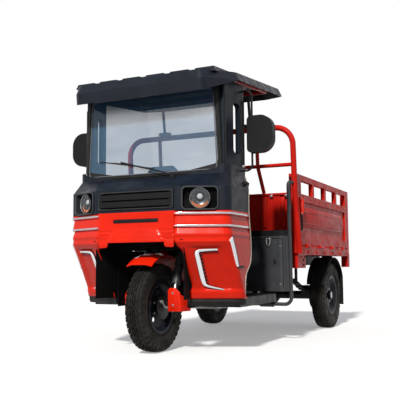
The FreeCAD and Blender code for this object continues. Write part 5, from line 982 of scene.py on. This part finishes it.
GLASS_FRONT = -0.062
GLASS_LOW = (0.4846, 1.153)
GLASS_HIGH = (0.461, 1.68)
STRIP_HEIGHTS = (1.205, 1.35, 1.5, 1.63)
MIRROR_AT = (0.687, 0.171, 1.398)
MIRROR_HALF = (0.088, 0.121, 0.029)
MIRROR_INSET = 0.018
FAR_OUT = 0.9


def screen_loop(outward, forward):
    """The glass's edge, moved outward by a distance."""
    low, bottom = GLASS_LOW[0] + outward, GLASS_LOW[1] - outward
    high, top = GLASS_HIGH[0] + outward, GLASS_HIGH[1] + outward
    corners = ((-low, bottom), (low, bottom), (high, top), (-high, top))
    return [at(x, GLASS_FRONT - forward, z) for x, z in corners]


def screen_parts():
    """The screen's outer seal and its inner bead."""
    piece = Piece("screen_trim")
    piece.tube(screen_loop(0.012, -0.001), 0.0075, RUBBER, bend=0.035, sides=10, closed=True)
    piece.tube(screen_loop(-0.004, 0.0008), 0.0042, TRIM_GREY, bend=0.03, closed=True)
    piece.done(angle=50)


def wiper():
    """A wiper parked low across the screen."""
    piece = Piece("wiper")
    foot = landed("cowl", at(0.185, -0.1, 1.4), -UP)
    pivot = [(-0.006, 0), (-0.006, 0.019), (0.01, 0.017), (0.02, 0.012), (0.022, 0)]
    piece.knob(pivot, foot, (0, -0.35, 1), BLACK_PLASTIC)
    head = foot + Vector((-0.004, 0, 0.016))
    elbow = at(-0.06, -0.08, 1.2)
    shoulder = foot.lerp(elbow, 0.25) + Vector((0, -0.004, 0.016))
    tip = at(-0.2205, -0.0745, 1.2435)
    piece.tube([head, shoulder, elbow, tip], 0.0052, BLACK_STEEL, bend=0.03, sides=10)
    start, end = at(-0.389, -0.0675, 1.2596), at(0.025, -0.0675, 1.1883)
    piece.tube([start, end], 0.0035, BLACK_STEEL)
    spine = [start.lerp(end, share) + Vector((0, -0.007, 0.004)) for share in (0.36, 0.46, 0.64)]
    piece.tube([start.lerp(end, 0.18), *spine, start.lerp(end, 0.82)], 0.0038, BLACK_STEEL, bend=0.02)
    clip = landed("cowl", at(-0.357, -0.11, 1.4), -UP)
    piece.box(clip + Vector((-0.018, -0.008, -0.003)), clip + Vector((0.018, 0.008, 0.01)), BLACK_PLASTIC,
              0.003)
    piece.done()


def pillar_strips(side):
    """Rubber strips down the pillar's front and rear edges, and the stay's ball foot."""
    piece = Piece(sided("pillar_strips", side))
    inward = LEFT * -side
    for back, radius, material in ((-0.03, 0.005, RUBBER), (0.168, 0.0042, RUBBER),
                                   (0.19, 0.0058, BLACK_PLASTIC)):
        spots = [landed("cab_pillars", at(FAR_OUT * side, back, height), inward) for height in STRIP_HEIGHTS]
        piece.tube([spot - inward * 0.001 for spot in spots], radius, material, sides=10)
    foot = landed("cab_pillars", at(FAR_OUT * side, 0.18, 1.195), inward)
    button = [(-0.004, 0), (-0.004, 0.01), (0.006, 0.011), (0.012, 0.008), (0.014, 0)]
    piece.knob(button, foot, -inward, BEIGE, steps=20)
    socket = landed("cowl", at(FAR_OUT * side, 0.15, 1.078), inward)
    ball = [(-0.004, 0), (-0.004, 0.016), (0.01, 0.017), (0.02, 0.014), (0.024, 0.008), (0.025, 0)]
    piece.knob(ball, socket, -inward, BLACK_PLASTIC)
    piece.done()


def mirror_parts(side):
    """The looking glass and its raised rim."""
    piece = Piece(sided("mirror_parts", side))
    middle = at(MIRROR_AT[0] * side, MIRROR_AT[1] + MIRROR_HALF[2], MIRROR_AT[2])
    half_width, half_height = MIRROR_HALF[0] - MIRROR_INSET, MIRROR_HALF[1] - MIRROR_INSET
    face = rounded_rectangle(half_width, half_height, 0.042)
    piece.slab(face, 0.002, middle, FROM_BEHIND, MIRROR, 0.0006)
    edge = rounded_rectangle(half_width + 0.001, half_height + 0.001, 0.043)
    piece.tube([middle + LEFT * x + UP * z for x, z in edge], 0.0028, BLACK_PLASTIC, closed=True)
    piece.done()


# Front wheel's brake and the nuts, caps and valves of all wheels

GUARD_FOOT = 0.264
GUARD_FACE = -0.0265


def fork_parts():
    """The brake's fixed plate and arm, the axle nuts and the clamps' bolts, which all turn with the fork."""
    piece = Piece("fork_parts", "steering")
    axle = at(0, 0, AXLE_HEIGHT)
    plate = [(0.056, 0.012), (0.056, 0.072), (0.058, 0.077), (0.061, 0.077), (0.064, 0.068),
             (0.068, 0.04), (0.07, 0.012)]
    piece.lathe(plate, axle, LEFT, BLACK_STEEL)
    cam = axle + Vector((0.064, -0.04, 0.04))
    piece.knob([(0, 0), (0, 0.011), (0.014, 0.011), (0.016, 0.009), (0.016, 0)], cam, LEFT, STEEL, steps=20)
    bends = ((0.076, -0.012, 0.004), (0.08, 0.045, -0.002), (0.088, 0.088, 0.006))
    arm = [cam + LEFT * 0.012] + [axle + Vector(bend) for bend in bends]
    piece.tube(arm, 0.0055, STEEL, bend=0.02, sides=10)
    piece.bolt(arm[-1], LEFT, 0.008)
    for side in SIDES:
        piece.bolt(axle + LEFT * 0.1465 * side, LEFT * side, 0.013)
        for height in (0.4, 0.612):
            for shift in (-0.05, 0.05):
                piece.bolt(leaned(shift * side, -0.042, height), (0, -1, -0.36), 0.007)
    piece.done(angle=35)


def guard_plates():
    """The two folded plates in front of the fork's sliders, with a rib, a wing and bolts."""
    piece = Piece("fork_guard_plates", "steering")
    plate = [(0.112, GUARD_FOOT), (0.112, 0.396), (0.124, 0.413), (0.166, 0.413), (0.2, 0.384),
             (0.206, 0.3), (0.206, GUARD_FOOT)]
    rib = [(0.128, 0.285), (0.136, 0.392), (0.158, 0.398), (0.178, 0.372), (0.184, 0.3), (0.172, 0.285)]
    wing = [(0, GUARD_FOOT), (0.074, 0.266), (0.078, 0.3), (0.058, 0.336), (0, 0.372)]
    bracket, bracket_half = 0.125, 0.008
    for side in SIDES:
        piece.slab(mirrored(plate, side), 0.0075, at(0, GUARD_FACE, 0), FROM_FRONT, RED, 0.0025)
        piece.slab(mirrored(rib, side), 0.0035, at(0, -0.0338, 0), FROM_FRONT, RED, 0.0016)
        wing_plane = ((0.036, 0.066 * side, 0), UP)
        piece.slab(mirrored(wing, side), 0.006, at(0.203 * side, -0.032, 0), wing_plane, RED, 0.002)
        middle = bracket * side
        piece.box(at(middle - bracket_half, -0.028, 0.285), at(middle + bracket_half, -0.008, 0.395),
                  BLACK_STEEL)
        for height in (0.38, 0.305):
            piece.bolt(at(0.15 * side, -0.0372, height), -BACK, 0.006)
    piece.done(replaces=["fork_guards"], angle=30)


def wheel_parts(name, body, centre, faces):
    """Lug nuts, a hub cap and a tyre valve; faces are the sides of the wheel that get nuts."""
    piece = Piece(name, body)
    cap = [(0, 0), (0, 0.024), (0.004, 0.024), (0.0055, 0.02), (0.006, 0)]
    lip = [(0.0405, 0.166), (0.0425, 0.169), (0.044, 0.167), (0.043, 0.164)]
    for face in faces:
        outward = LEFT * face
        piece.knob(cap, centre + outward * 0.045, outward, STEEL, steps=28)
        for nut in range(5):
            spot = round_wheel(0.0185 * face, 0.056, math.radians(72 * nut + 18))
            piece.bolt(centre + spot, outward, 0.0075)
        piece.lathe(lip, centre, outward, WHEEL, steps=72)
        stem = centre + outward * 0.022 + UP * 0.136
        piece.tube([stem, stem + outward * 0.018 - UP * 0.01], 0.0032, BLACK_PLASTIC)
    piece.done()


def all_wheel_parts():
    """Nuts, caps and valves of the three wheels."""
    wheel_parts("front_wheel_parts", "front_wheel", at(0, 0, AXLE_HEIGHT), SIDES)
    for side in SIDES:
        wheel_parts(sided("rear_wheel_parts", side), sided("rear_wheel", side), rear_centre(side), (side,))


# Cab

PAD_LAYERS = [(-1.0, 0.93), (-0.85, 0.975), (-0.4, 0.992), (0.1, 1.0), (0.45, 0.985), (0.68, 0.955)]
PAD_SEAMS = (-0.66, -0.33, 0.0, 0.33, 0.66)
SEAM_WIDTH = 0.035
CROWN_STEPS = 15
RIM_TURNS = [2 * math.pi * (step + 0.5) / 160 for step in range(160)]
FLOOR_TOP = 0.347
LEVER_SIDE = 0.335
PEDAL_SIDE = -0.33


def pad_rim(share, turn):
    """A place on a superellipse round the pad's middle."""
    cosine, sine = math.cos(turn), math.sin(turn)
    reach = (abs(cosine) ** 9 + abs(sine) ** 9) ** (-1 / 9)
    return reach * cosine * share, reach * sine * share


def pad_crown(u, v):
    """How high the pad's top is, with its sewn channels."""
    edge = max(abs(u), abs(v))
    crown = 0.7 + 0.28 * (1 - edge ** 4)
    groove = max(math.exp(-((u - seam) / SEAM_WIDTH) ** 2) for seam in PAD_SEAMS)
    return min(crown - 0.13 * groove * (1 - edge ** 6), 0.985)


def pad(name, node, low, high, up, sign):
    """A crowned cushion with rounded sides, sewn channels and a welt; its top faces along the up axis."""
    low, high = at(*low), at(*high)
    middle = (low + high) / 2
    half = (high - low) / 2
    first, second = (axis for axis in range(3) if axis != up)
    piece = Piece(name)

    def place(u, v, level):
        spot = middle.copy()
        spot[first] += u * half[first]
        spot[second] += v * half[second]
        spot[up] += level * sign * half[up]
        return spot

    rings = [[place(*pad_rim(share, turn), level) for turn in RIM_TURNS] for level, share in PAD_LAYERS]
    for step in range(1, CROWN_STEPS):
        ring = [pad_rim(0.955 * (1 - step / CROWN_STEPS), turn) for turn in RIM_TURNS]
        rings.append([place(u, v, pad_crown(u, v)) for u, v in ring])
    piece.skin(rings, VINYL, caps=True)
    welt = [place(*pad_rim(0.962, turn), 0.665) for turn in RIM_TURNS[::2]]
    piece.tube(welt, 0.0032, VINYL, closed=True)
    piece.done(replaces=[node], angle=60)


def seats():
    """The pads of the seat and of its back."""
    pad("seat_cushion_pad", "seat_cushion", (-0.258, 0.482, 0.7406), (0.258, 0.7874, 0.829), 2, 1)
    pad("seat_back_pad", "seat_back", (-0.258, 0.826, 0.808), (0.258, 0.8945, 1.178), 1, -1)


def instruments(piece):
    """The pod with its dial, and four knobs on the dashboard."""
    pod = [(-0.115, 0), (0.115, 0), (0.105, 0.05), (0.08, 0.078), (-0.08, 0.078), (-0.105, 0.05)]
    piece.slab(pod, 0.055, at(0, 0.128, 1.1385), (LEFT, (0, 0.25, 1)), BLACK_PLASTIC, 0.008)
    dial = at(0, 0.146, 1.178)
    towards_driver = (0, 1, -0.25)
    piece.knob([(0, 0), (0, 0.03), (0.005, 0.031), (0.006, 0.027), (0.003, 0.026), (0.003, 0)], dial,
               towards_driver, CHROME, steps=36)
    piece.knob([(0.0032, 0), (0.0032, 0.0255), (0.0038, 0)], dial, towards_driver, BLACK_AND_PAINTED_SHADE, steps=36)
    switch = [(0, 0), (0, 0.013), (0.008, 0.012), (0.01, 0.009), (0.01, 0)]
    for x in (-0.33, -0.27, 0.27, 0.33):
        piece.knob(switch, at(x, 0.1395, 1.06), BACK, GREY, steps=20)


def hand_lever(piece):
    """A lever by the seat, with its sleeve and boot."""
    stem = [at(LEVER_SIDE, y, z) for y, z in ((0.56, FLOOR_TOP), (0.545, 0.52), (0.56, 0.66))]
    piece.tube(stem, 0.008, BLACK_STEEL, bend=0.05, sides=12)
    piece.tube([at(LEVER_SIDE, 0.558, 0.64), at(LEVER_SIDE, 0.566, 0.745)], 0.014, FOAM, sides=14)
    boot = [(-0.001, 0), (-0.001, 0.034), (0.03, 0.018), (0.034, 0)]
    piece.knob(boot, at(LEVER_SIDE, 0.56, 0.349), UP, RUBBER)


def pedal(piece):
    """A ribbed pedal on its rod."""
    plate = [(-0.045, 0), (0.045, 0), (0.04, 0.09), (-0.04, 0.09)]
    piece.slab(plate, 0.012, at(PEDAL_SIDE, 0.31, 0.4), (LEFT, (0, -0.55, 0.83)), RUBBER, 0.004)
    piece.tube([at(PEDAL_SIDE, 0.335, FLOOR_TOP), at(PEDAL_SIDE, 0.305, 0.42)], 0.008, BLACK_STEEL, sides=10)
    for step in range(5):
        rib = at(PEDAL_SIDE, 0.294 - 0.01 * step, 0.406 + 0.0151 * step)
        piece.tube([rib - LEFT * 0.036, rib + LEFT * 0.036], 0.002, RUBBER, sides=6)


def floor_mats(piece):
    """A ribbed mat at each side of the cab."""
    mat = rounded_rectangle(0.24, 0.2, 0.03)
    for side in SIDES:
        outline = [(x * 0.48, y) for x, y in mat]
        piece.slab(outline, 0.003, at(0.405 * side, 0.56, 0.3488), FROM_ABOVE, RUBBER)
        for row in range(9):
            ends = [at(x * side, 0.4 + 0.04 * row, 0.3522) for x in (0.31, 0.5)]
            piece.tube(ends, 0.0022, RUBBER, sides=6)


def cab_interior():
    """What the driver sees and handles."""
    piece = Piece("cab_parts")
    instruments(piece)
    hand_lever(piece)
    pedal(piece)
    floor_mats(piece)
    piece.done()


# Side covers and cargo bed

COVER_FACE = 0.7895
COVER_INNER = 0.3
COVER_OUTER = 0.607
COVER_SEAM = 0.0022
COVER_LATCH = 0.5
HEAD_BOARD_FACE = 0.9328
BED_WALL = 0.6705
GATE_FACE = 0.6698
GATE_BODIES = {1: "left_gate", -1: "right_gate"}


def cover_parts(side):
    """Seams, screws and the latch of a side cover."""
    piece = Piece(sided("cover_parts", side))
    low, high = 0.385, 0.745
    for x in (COVER_INNER, COVER_OUTER):
        piece.tube([at(x * side, COVER_FACE, z) for z in (low, high)], COVER_SEAM, BLACK_PLASTIC)
    top = [at(x * side, COVER_FACE, high) for x in (COVER_INNER, COVER_OUTER)]
    piece.tube(top, COVER_SEAM, BLACK_PLASTIC)
    x = COVER_LATCH * side
    keeper = [(-0.026, 0.7), (0.026, 0.7), (0.026, 0.752), (0.014, 0.764), (-0.014, 0.764),
              (-0.026, 0.752)]
    piece.slab(keeper, 0.004, at(x, COVER_FACE, 0), FROM_FRONT, GREY)
    loop = [at(x - 0.015, 0.781, 0.745), at(x + 0.015, 0.781, 0.745), at(x + 0.012, 0.779, 0.7),
            at(x - 0.012, 0.779, 0.7)]
    piece.tube(loop, 0.0028, STEEL, bend=0.006, closed=True)
    piece.box(at(x - 0.01, 0.78, 0.688), at(x + 0.01, COVER_FACE, 0.702), STEEL)
    piece.box(at(x - 0.018, 0.781, 0.741), at(x + 0.018, COVER_FACE, 0.751), STEEL)
    for across in (0.325, 0.585):
        for height in (0.415, 0.69):
            piece.bolt(at(across * side, COVER_FACE, height), -BACK, 0.005)
    grip = [(0.54, 0.56), (0.552, 0.566), (0.552, 0.59), (0.54, 0.596)]
    piece.slab(mirrored(grip, side), 0.003, at(0, COVER_FACE, 0), FROM_FRONT, BLACK_AND_PAINTED_SHADE, 0.0008)
    piece.done()


def head_board_parts():
    """The head board's rolled lip, pressed ribs and hooks."""
    piece = Piece("head_board_parts")
    rib_half, rib_low, rib_high = 0.016, 0.835, 1.062
    piece.tube([at(-0.608, 0.938, 1.087), at(0.608, 0.938, 1.087)], 0.0065, BED_RED, sides=12)
    for x in (-0.56, -0.42, -0.14, 0.14, 0.42, 0.56):
        rib = rectangle(x - rib_half, rib_low, x + rib_half, rib_high)
        piece.slab(rib, 0.0035, at(0, HEAD_BOARD_FACE, 0), FROM_FRONT, BED_RED, 0.0016)
    for x in (0.475, 0.59, -0.475, -0.59):
        piece.box(at(x - 0.012, HEAD_BOARD_FACE - 0.006, rib_high), at(x + 0.012, HEAD_BOARD_FACE, 1.082),
                  STEEL)
    piece.done()


def bed_parts(side):
    """The sill's bolts, the slots of the corner plate as near-black ovals of painted shade, and the strut to
    the mudguard.
    """
    piece = Piece(sided("bed_parts", side))
    outward = LEFT * side
    for step in range(6):
        piece.bolt(at((BED_WALL - 0.0002) * side, 1.2 + 0.24 * step, 0.65), outward, 0.008, BED_RED)
    turns = [2 * math.pi * step / 20 for step in range(20)]
    # Each slot is a thin near-black oval on the wall, painted shade of the hole
    for y, z in ((1.11801, 0.612), (1.07801, 0.59), (1.07801, 0.556)):
        oval = [(y + 0.013 * math.cos(turn), z + 0.0085 * math.sin(turn)) for turn in turns]
        piece.slab(oval, 0.0012, at((BED_WALL - 0.0003) * side, 0, 0), FROM_LEFT, BLACK_AND_PAINTED_SHADE, 0)
    piece.bolt(at(BED_WALL * side, 1.04, 0.612), outward, 0.006, BED_RED)
    lower, upper = at(0.6 * side, 1.985, 0.56), at(0.6 * side, 2.105, 0.632)
    piece.tube([lower, upper], 0.011, STRUT, sides=12)
    piece.bolt(upper + outward * 0.008 - UP * 0.006, outward, 0.008)
    piece.done()


def gate_latch(side):
    """The toggle at the front end of a side gate with its strap, and the gate's pressed panel and bolts."""
    piece = Piece(sided("gate_latch", side), GATE_BODIES[side])
    outward = LEFT * side
    body = [(y + 1.031, z + 0.994) for y, z in rounded_rectangle(0.013, 0.066, 0.006)]
    piece.slab(body, 0.013, at(GATE_FACE * side, 0, 0), FROM_LEFT, RED, 0.002)
    panel = [(1.085, 0.842), (1.085, 0.992), (2.27, 0.992), (2.33, 0.952), (2.33, 0.882), (2.27, 0.842)]
    piece.slab(panel, 0.01, at(0.6557 * side, 0, 0), FROM_LEFT, BED_RED, 0.0045)
    for height in (0.872, 0.962):
        piece.tube([at(0.665 * side, y, height) for y in (1.11, 2.29)], 0.0034, BED_RED)
    lever = [at(x * side, 1.031, z) for x, z in ((0.688, 1.052), (0.694, 1.0), (0.689, 0.94))]
    piece.tube(lever, 0.0065, RED, bend=0.03, sides=12)
    for height in (1.048, 0.94):
        piece.bolt(at(0.682 * side, 1.022, height), outward, 0.0055)
    strap = ((0.678, 1.022, 0.93), (0.678, 1.04, 0.93), (0.676, 1.05, 0.815), (0.676, 1.024, 0.81))
    piece.tube([at(x * side, y, z) for x, y, z in strap], 0.0048, RUBBER, bend=0.014, sides=10, closed=True)
    for step in range(7):
        piece.bolt(at(GATE_FACE * side, 1.1 + 0.21 * step, 1.062), outward, 0.0055, BED_RED)
    piece.done()


MUDGUARD_RADIUS = 0.332
MUDGUARD_HALF_WIDTH = 0.08
TAIL_LAMP_SIDE = 0.639
TAIL_LENS_HALF = 0.024
TAIL_LENSES = ((0.548, 0.578, LAMP_WHITE), (0.582, 0.62, RED_LENS), (0.624, 0.652, AMBER))
PLATE_HEIGHT = 0.58


def mudguard_parts(side):
    """Raised ribs over the rear mudguard and its rolled edges."""
    piece = Piece(sided("mudguard_parts", side))
    centre = rear_centre(side)
    turns = [math.radians(-68 + 5.2 * step) for step in range(25)]
    edge = MUDGUARD_HALF_WIDTH - 0.001
    lines = [(across, MUDGUARD_RADIUS + 0.0004, 0.0042) for across in (-0.056, -0.028, 0, 0.028, 0.056)]
    lines += [(across, MUDGUARD_RADIUS - 0.002, 0.0036) for across in (-edge, edge)]
    for across, reach, radius in lines:
        piece.tube([centre + round_wheel(across, reach, turn) for turn in turns], radius, BLACK_PLASTIC)
    piece.done()


def tail_parts():
    """Lens segments of the tail lamps, a blank number plate and its holder."""
    piece = Piece("tail_parts")
    for middle in (TAIL_LAMP_SIDE, -TAIL_LAMP_SIDE):
        for low, high, material in TAIL_LENSES:
            lens = rectangle(-TAIL_LENS_HALF, low, TAIL_LENS_HALF, high)
            piece.slab(lens, 0.0028, at(middle, 2.5345, 0), FROM_BEHIND, material)
    holder = rounded_rectangle(0.118, 0.046, 0.01)
    piece.slab(holder, 0.003, at(0, 2.5205, PLATE_HEIGHT), FROM_BEHIND, BLACK_PLASTIC)
    plate = rounded_rectangle(0.11, 0.038, 0.008)
    piece.slab(plate, 0.0022, at(0, 2.5233, PLATE_HEIGHT), FROM_BEHIND, PLATE_WHITE, 0.0006)
    piece.done()


# Camera, light and backdrop

CAMERA_PLACE = (2.235, -3.926, 0.559)
CAMERA_TURN, CAMERA_RISE, CAMERA_ROLL = (math.radians(angle) for angle in (25.89, 5.406, -0.365))
LENS_LENGTH = 61.65
SENSOR_WIDTH = 36
SKY = {"Color": (0.84, 0.89, 1.0, 1), "Strength": 0.25}
WHITE = {"Color": (1, 1, 1, 1), "Strength": 1.0}
SUN_DIRECTION = (-0.14, 0.8, -0.56)
SUN_STRENGTH = 3.6
FLOOR_GLOW = 0.34
FLOOR_REACH = 30


def camera():
    """The photograph's own place: in front of the left corner, low, looking slightly up."""
    level = math.cos(CAMERA_RISE)
    forward = Vector((-math.sin(CAMERA_TURN) * level, math.cos(CAMERA_TURN) * level, math.sin(CAMERA_RISE)))
    right = Vector((math.cos(CAMERA_TURN), math.sin(CAMERA_TURN), 0))
    up = right.cross(forward)
    tilted_right = right * math.cos(CAMERA_ROLL) + up * math.sin(CAMERA_ROLL)
    tilted_up = up * math.cos(CAMERA_ROLL) - right * math.sin(CAMERA_ROLL)
    data = bpy.data.cameras.new("camera")
    data.lens = LENS_LENGTH
    data.sensor_width = SENSOR_WIDTH
    thing = placed("camera", data)
    spin = Matrix((tilted_right, tilted_up, -forward)).transposed().to_4x4()
    thing.matrix_world = Matrix.Translation(at(*CAMERA_PLACE)) @ spin
    bpy.context.scene.camera = thing


def aimed(direction):
    """How a lamp is turned so that it shines in a direction."""
    return Vector(direction).to_track_quat("-Z", "Y").to_euler()


def area_light(name, place, power, colour):
    """A soft light that shines on the vehicle's middle."""
    data = bpy.data.lights.new(name, "AREA")
    data.shape = "RECTANGLE"
    data.size, data.size_y = 3, 2
    data.energy = power
    data.color = colour
    thing = placed(name, data)
    thing.location = place
    thing.rotation_euler = aimed(at(0, 0.9, 0.8) - place)


def sun_light():
    sun = bpy.data.lights.new("sun", "SUN")
    sun.energy = SUN_STRENGTH
    sun.angle = math.radians(5)
    sun.color = (1.0, 0.97, 0.92)
    placed("sun", sun).rotation_euler = aimed(SUN_DIRECTION)


def shown(tree):
    """One for the rays that show the background: the camera's own, mirrored ones and those through glass."""
    path = tree.nodes.new("ShaderNodeLightPath")
    total = path.outputs["Is Camera Ray"]
    for kind in ("Is Glossy Ray", "Is Transmission Ray"):
        total = arithmetic(tree, "ADD", total, path.outputs[kind])
    return total


def world():
    """White to the camera, to mirrors and through glass, soft daylight to everything else."""
    made = bpy.data.worlds.new("daylight")
    bpy.context.scene.world = made
    made.use_nodes = True
    tree = made.node_tree
    tree.nodes.clear()
    sky = shader_node(tree, "Background", SKY)
    white = shader_node(tree, "Background", WHITE)
    choose = shader_node(tree, "MixShader", links={0: shown(tree), 1: sky.outputs[0], 2: white.outputs[0]})
    shader_node(tree, "OutputWorld", links={"Surface": choose.outputs[0]})


def light():
    """A sun from the front, two soft lights and the sky."""
    world()
    sun_light()
    area_light("front_soft", at(-1.0, -4.5, 2.8), 30, (1, 1, 1))
    area_light("side_soft", at(4.5, 0.5, 2.6), 7, (1, 0.98, 0.95))
    bpy.context.scene.view_settings.view_transform = "Standard"


def floor():
    """A floor that shows white, keeps the shadow and sends only a dim light back up."""
    made = surface("pale_floor", (0.86, 0.86, 0.86), 0.95, vary=0.01, grain=40, bump=0.01, glow=FLOOR_GLOW,
                   specular=0.0)
    tree = made.node_tree
    inputs = tree.nodes["Principled BSDF"].inputs
    pale = inputs["Base Color"].links[0].from_socket
    tree.links.new(mixed(tree, shown(tree), (0.16, 0.16, 0.16), pale), inputs["Base Color"])
    tree.links.new(arithmetic(tree, "MULTIPLY", shown(tree), FLOOR_GLOW), inputs["Emission Strength"])
    data = bpy.data.meshes.new("floor")
    corners = [(x * FLOOR_REACH, y * FLOOR_REACH, 0) for x, y in ((-1, -1), (1, -1), (1, 1), (-1, 1))]
    data.from_pydata(corners, [], [(0, 1, 2, 3)])
    data.materials.append(made)
    placed("floor", data)


dress_nodes()
wheels()
front_skin()
front_trims()
both(corner_skin)
both(fascia_trims)
both(running_lamps)
both(headlamp)
grille_parts()
arch_shade_liner()
screen_parts()
wiper()
both(pillar_strips)
both(mirror_parts)
fork_parts()
guard_plates()
all_wheel_parts()
cab_interior()
seats()
both(cover_parts)
head_board_parts()
both(bed_parts)
both(gate_latch)
both(mudguard_parts)
tail_parts()
camera()
light()
floor()
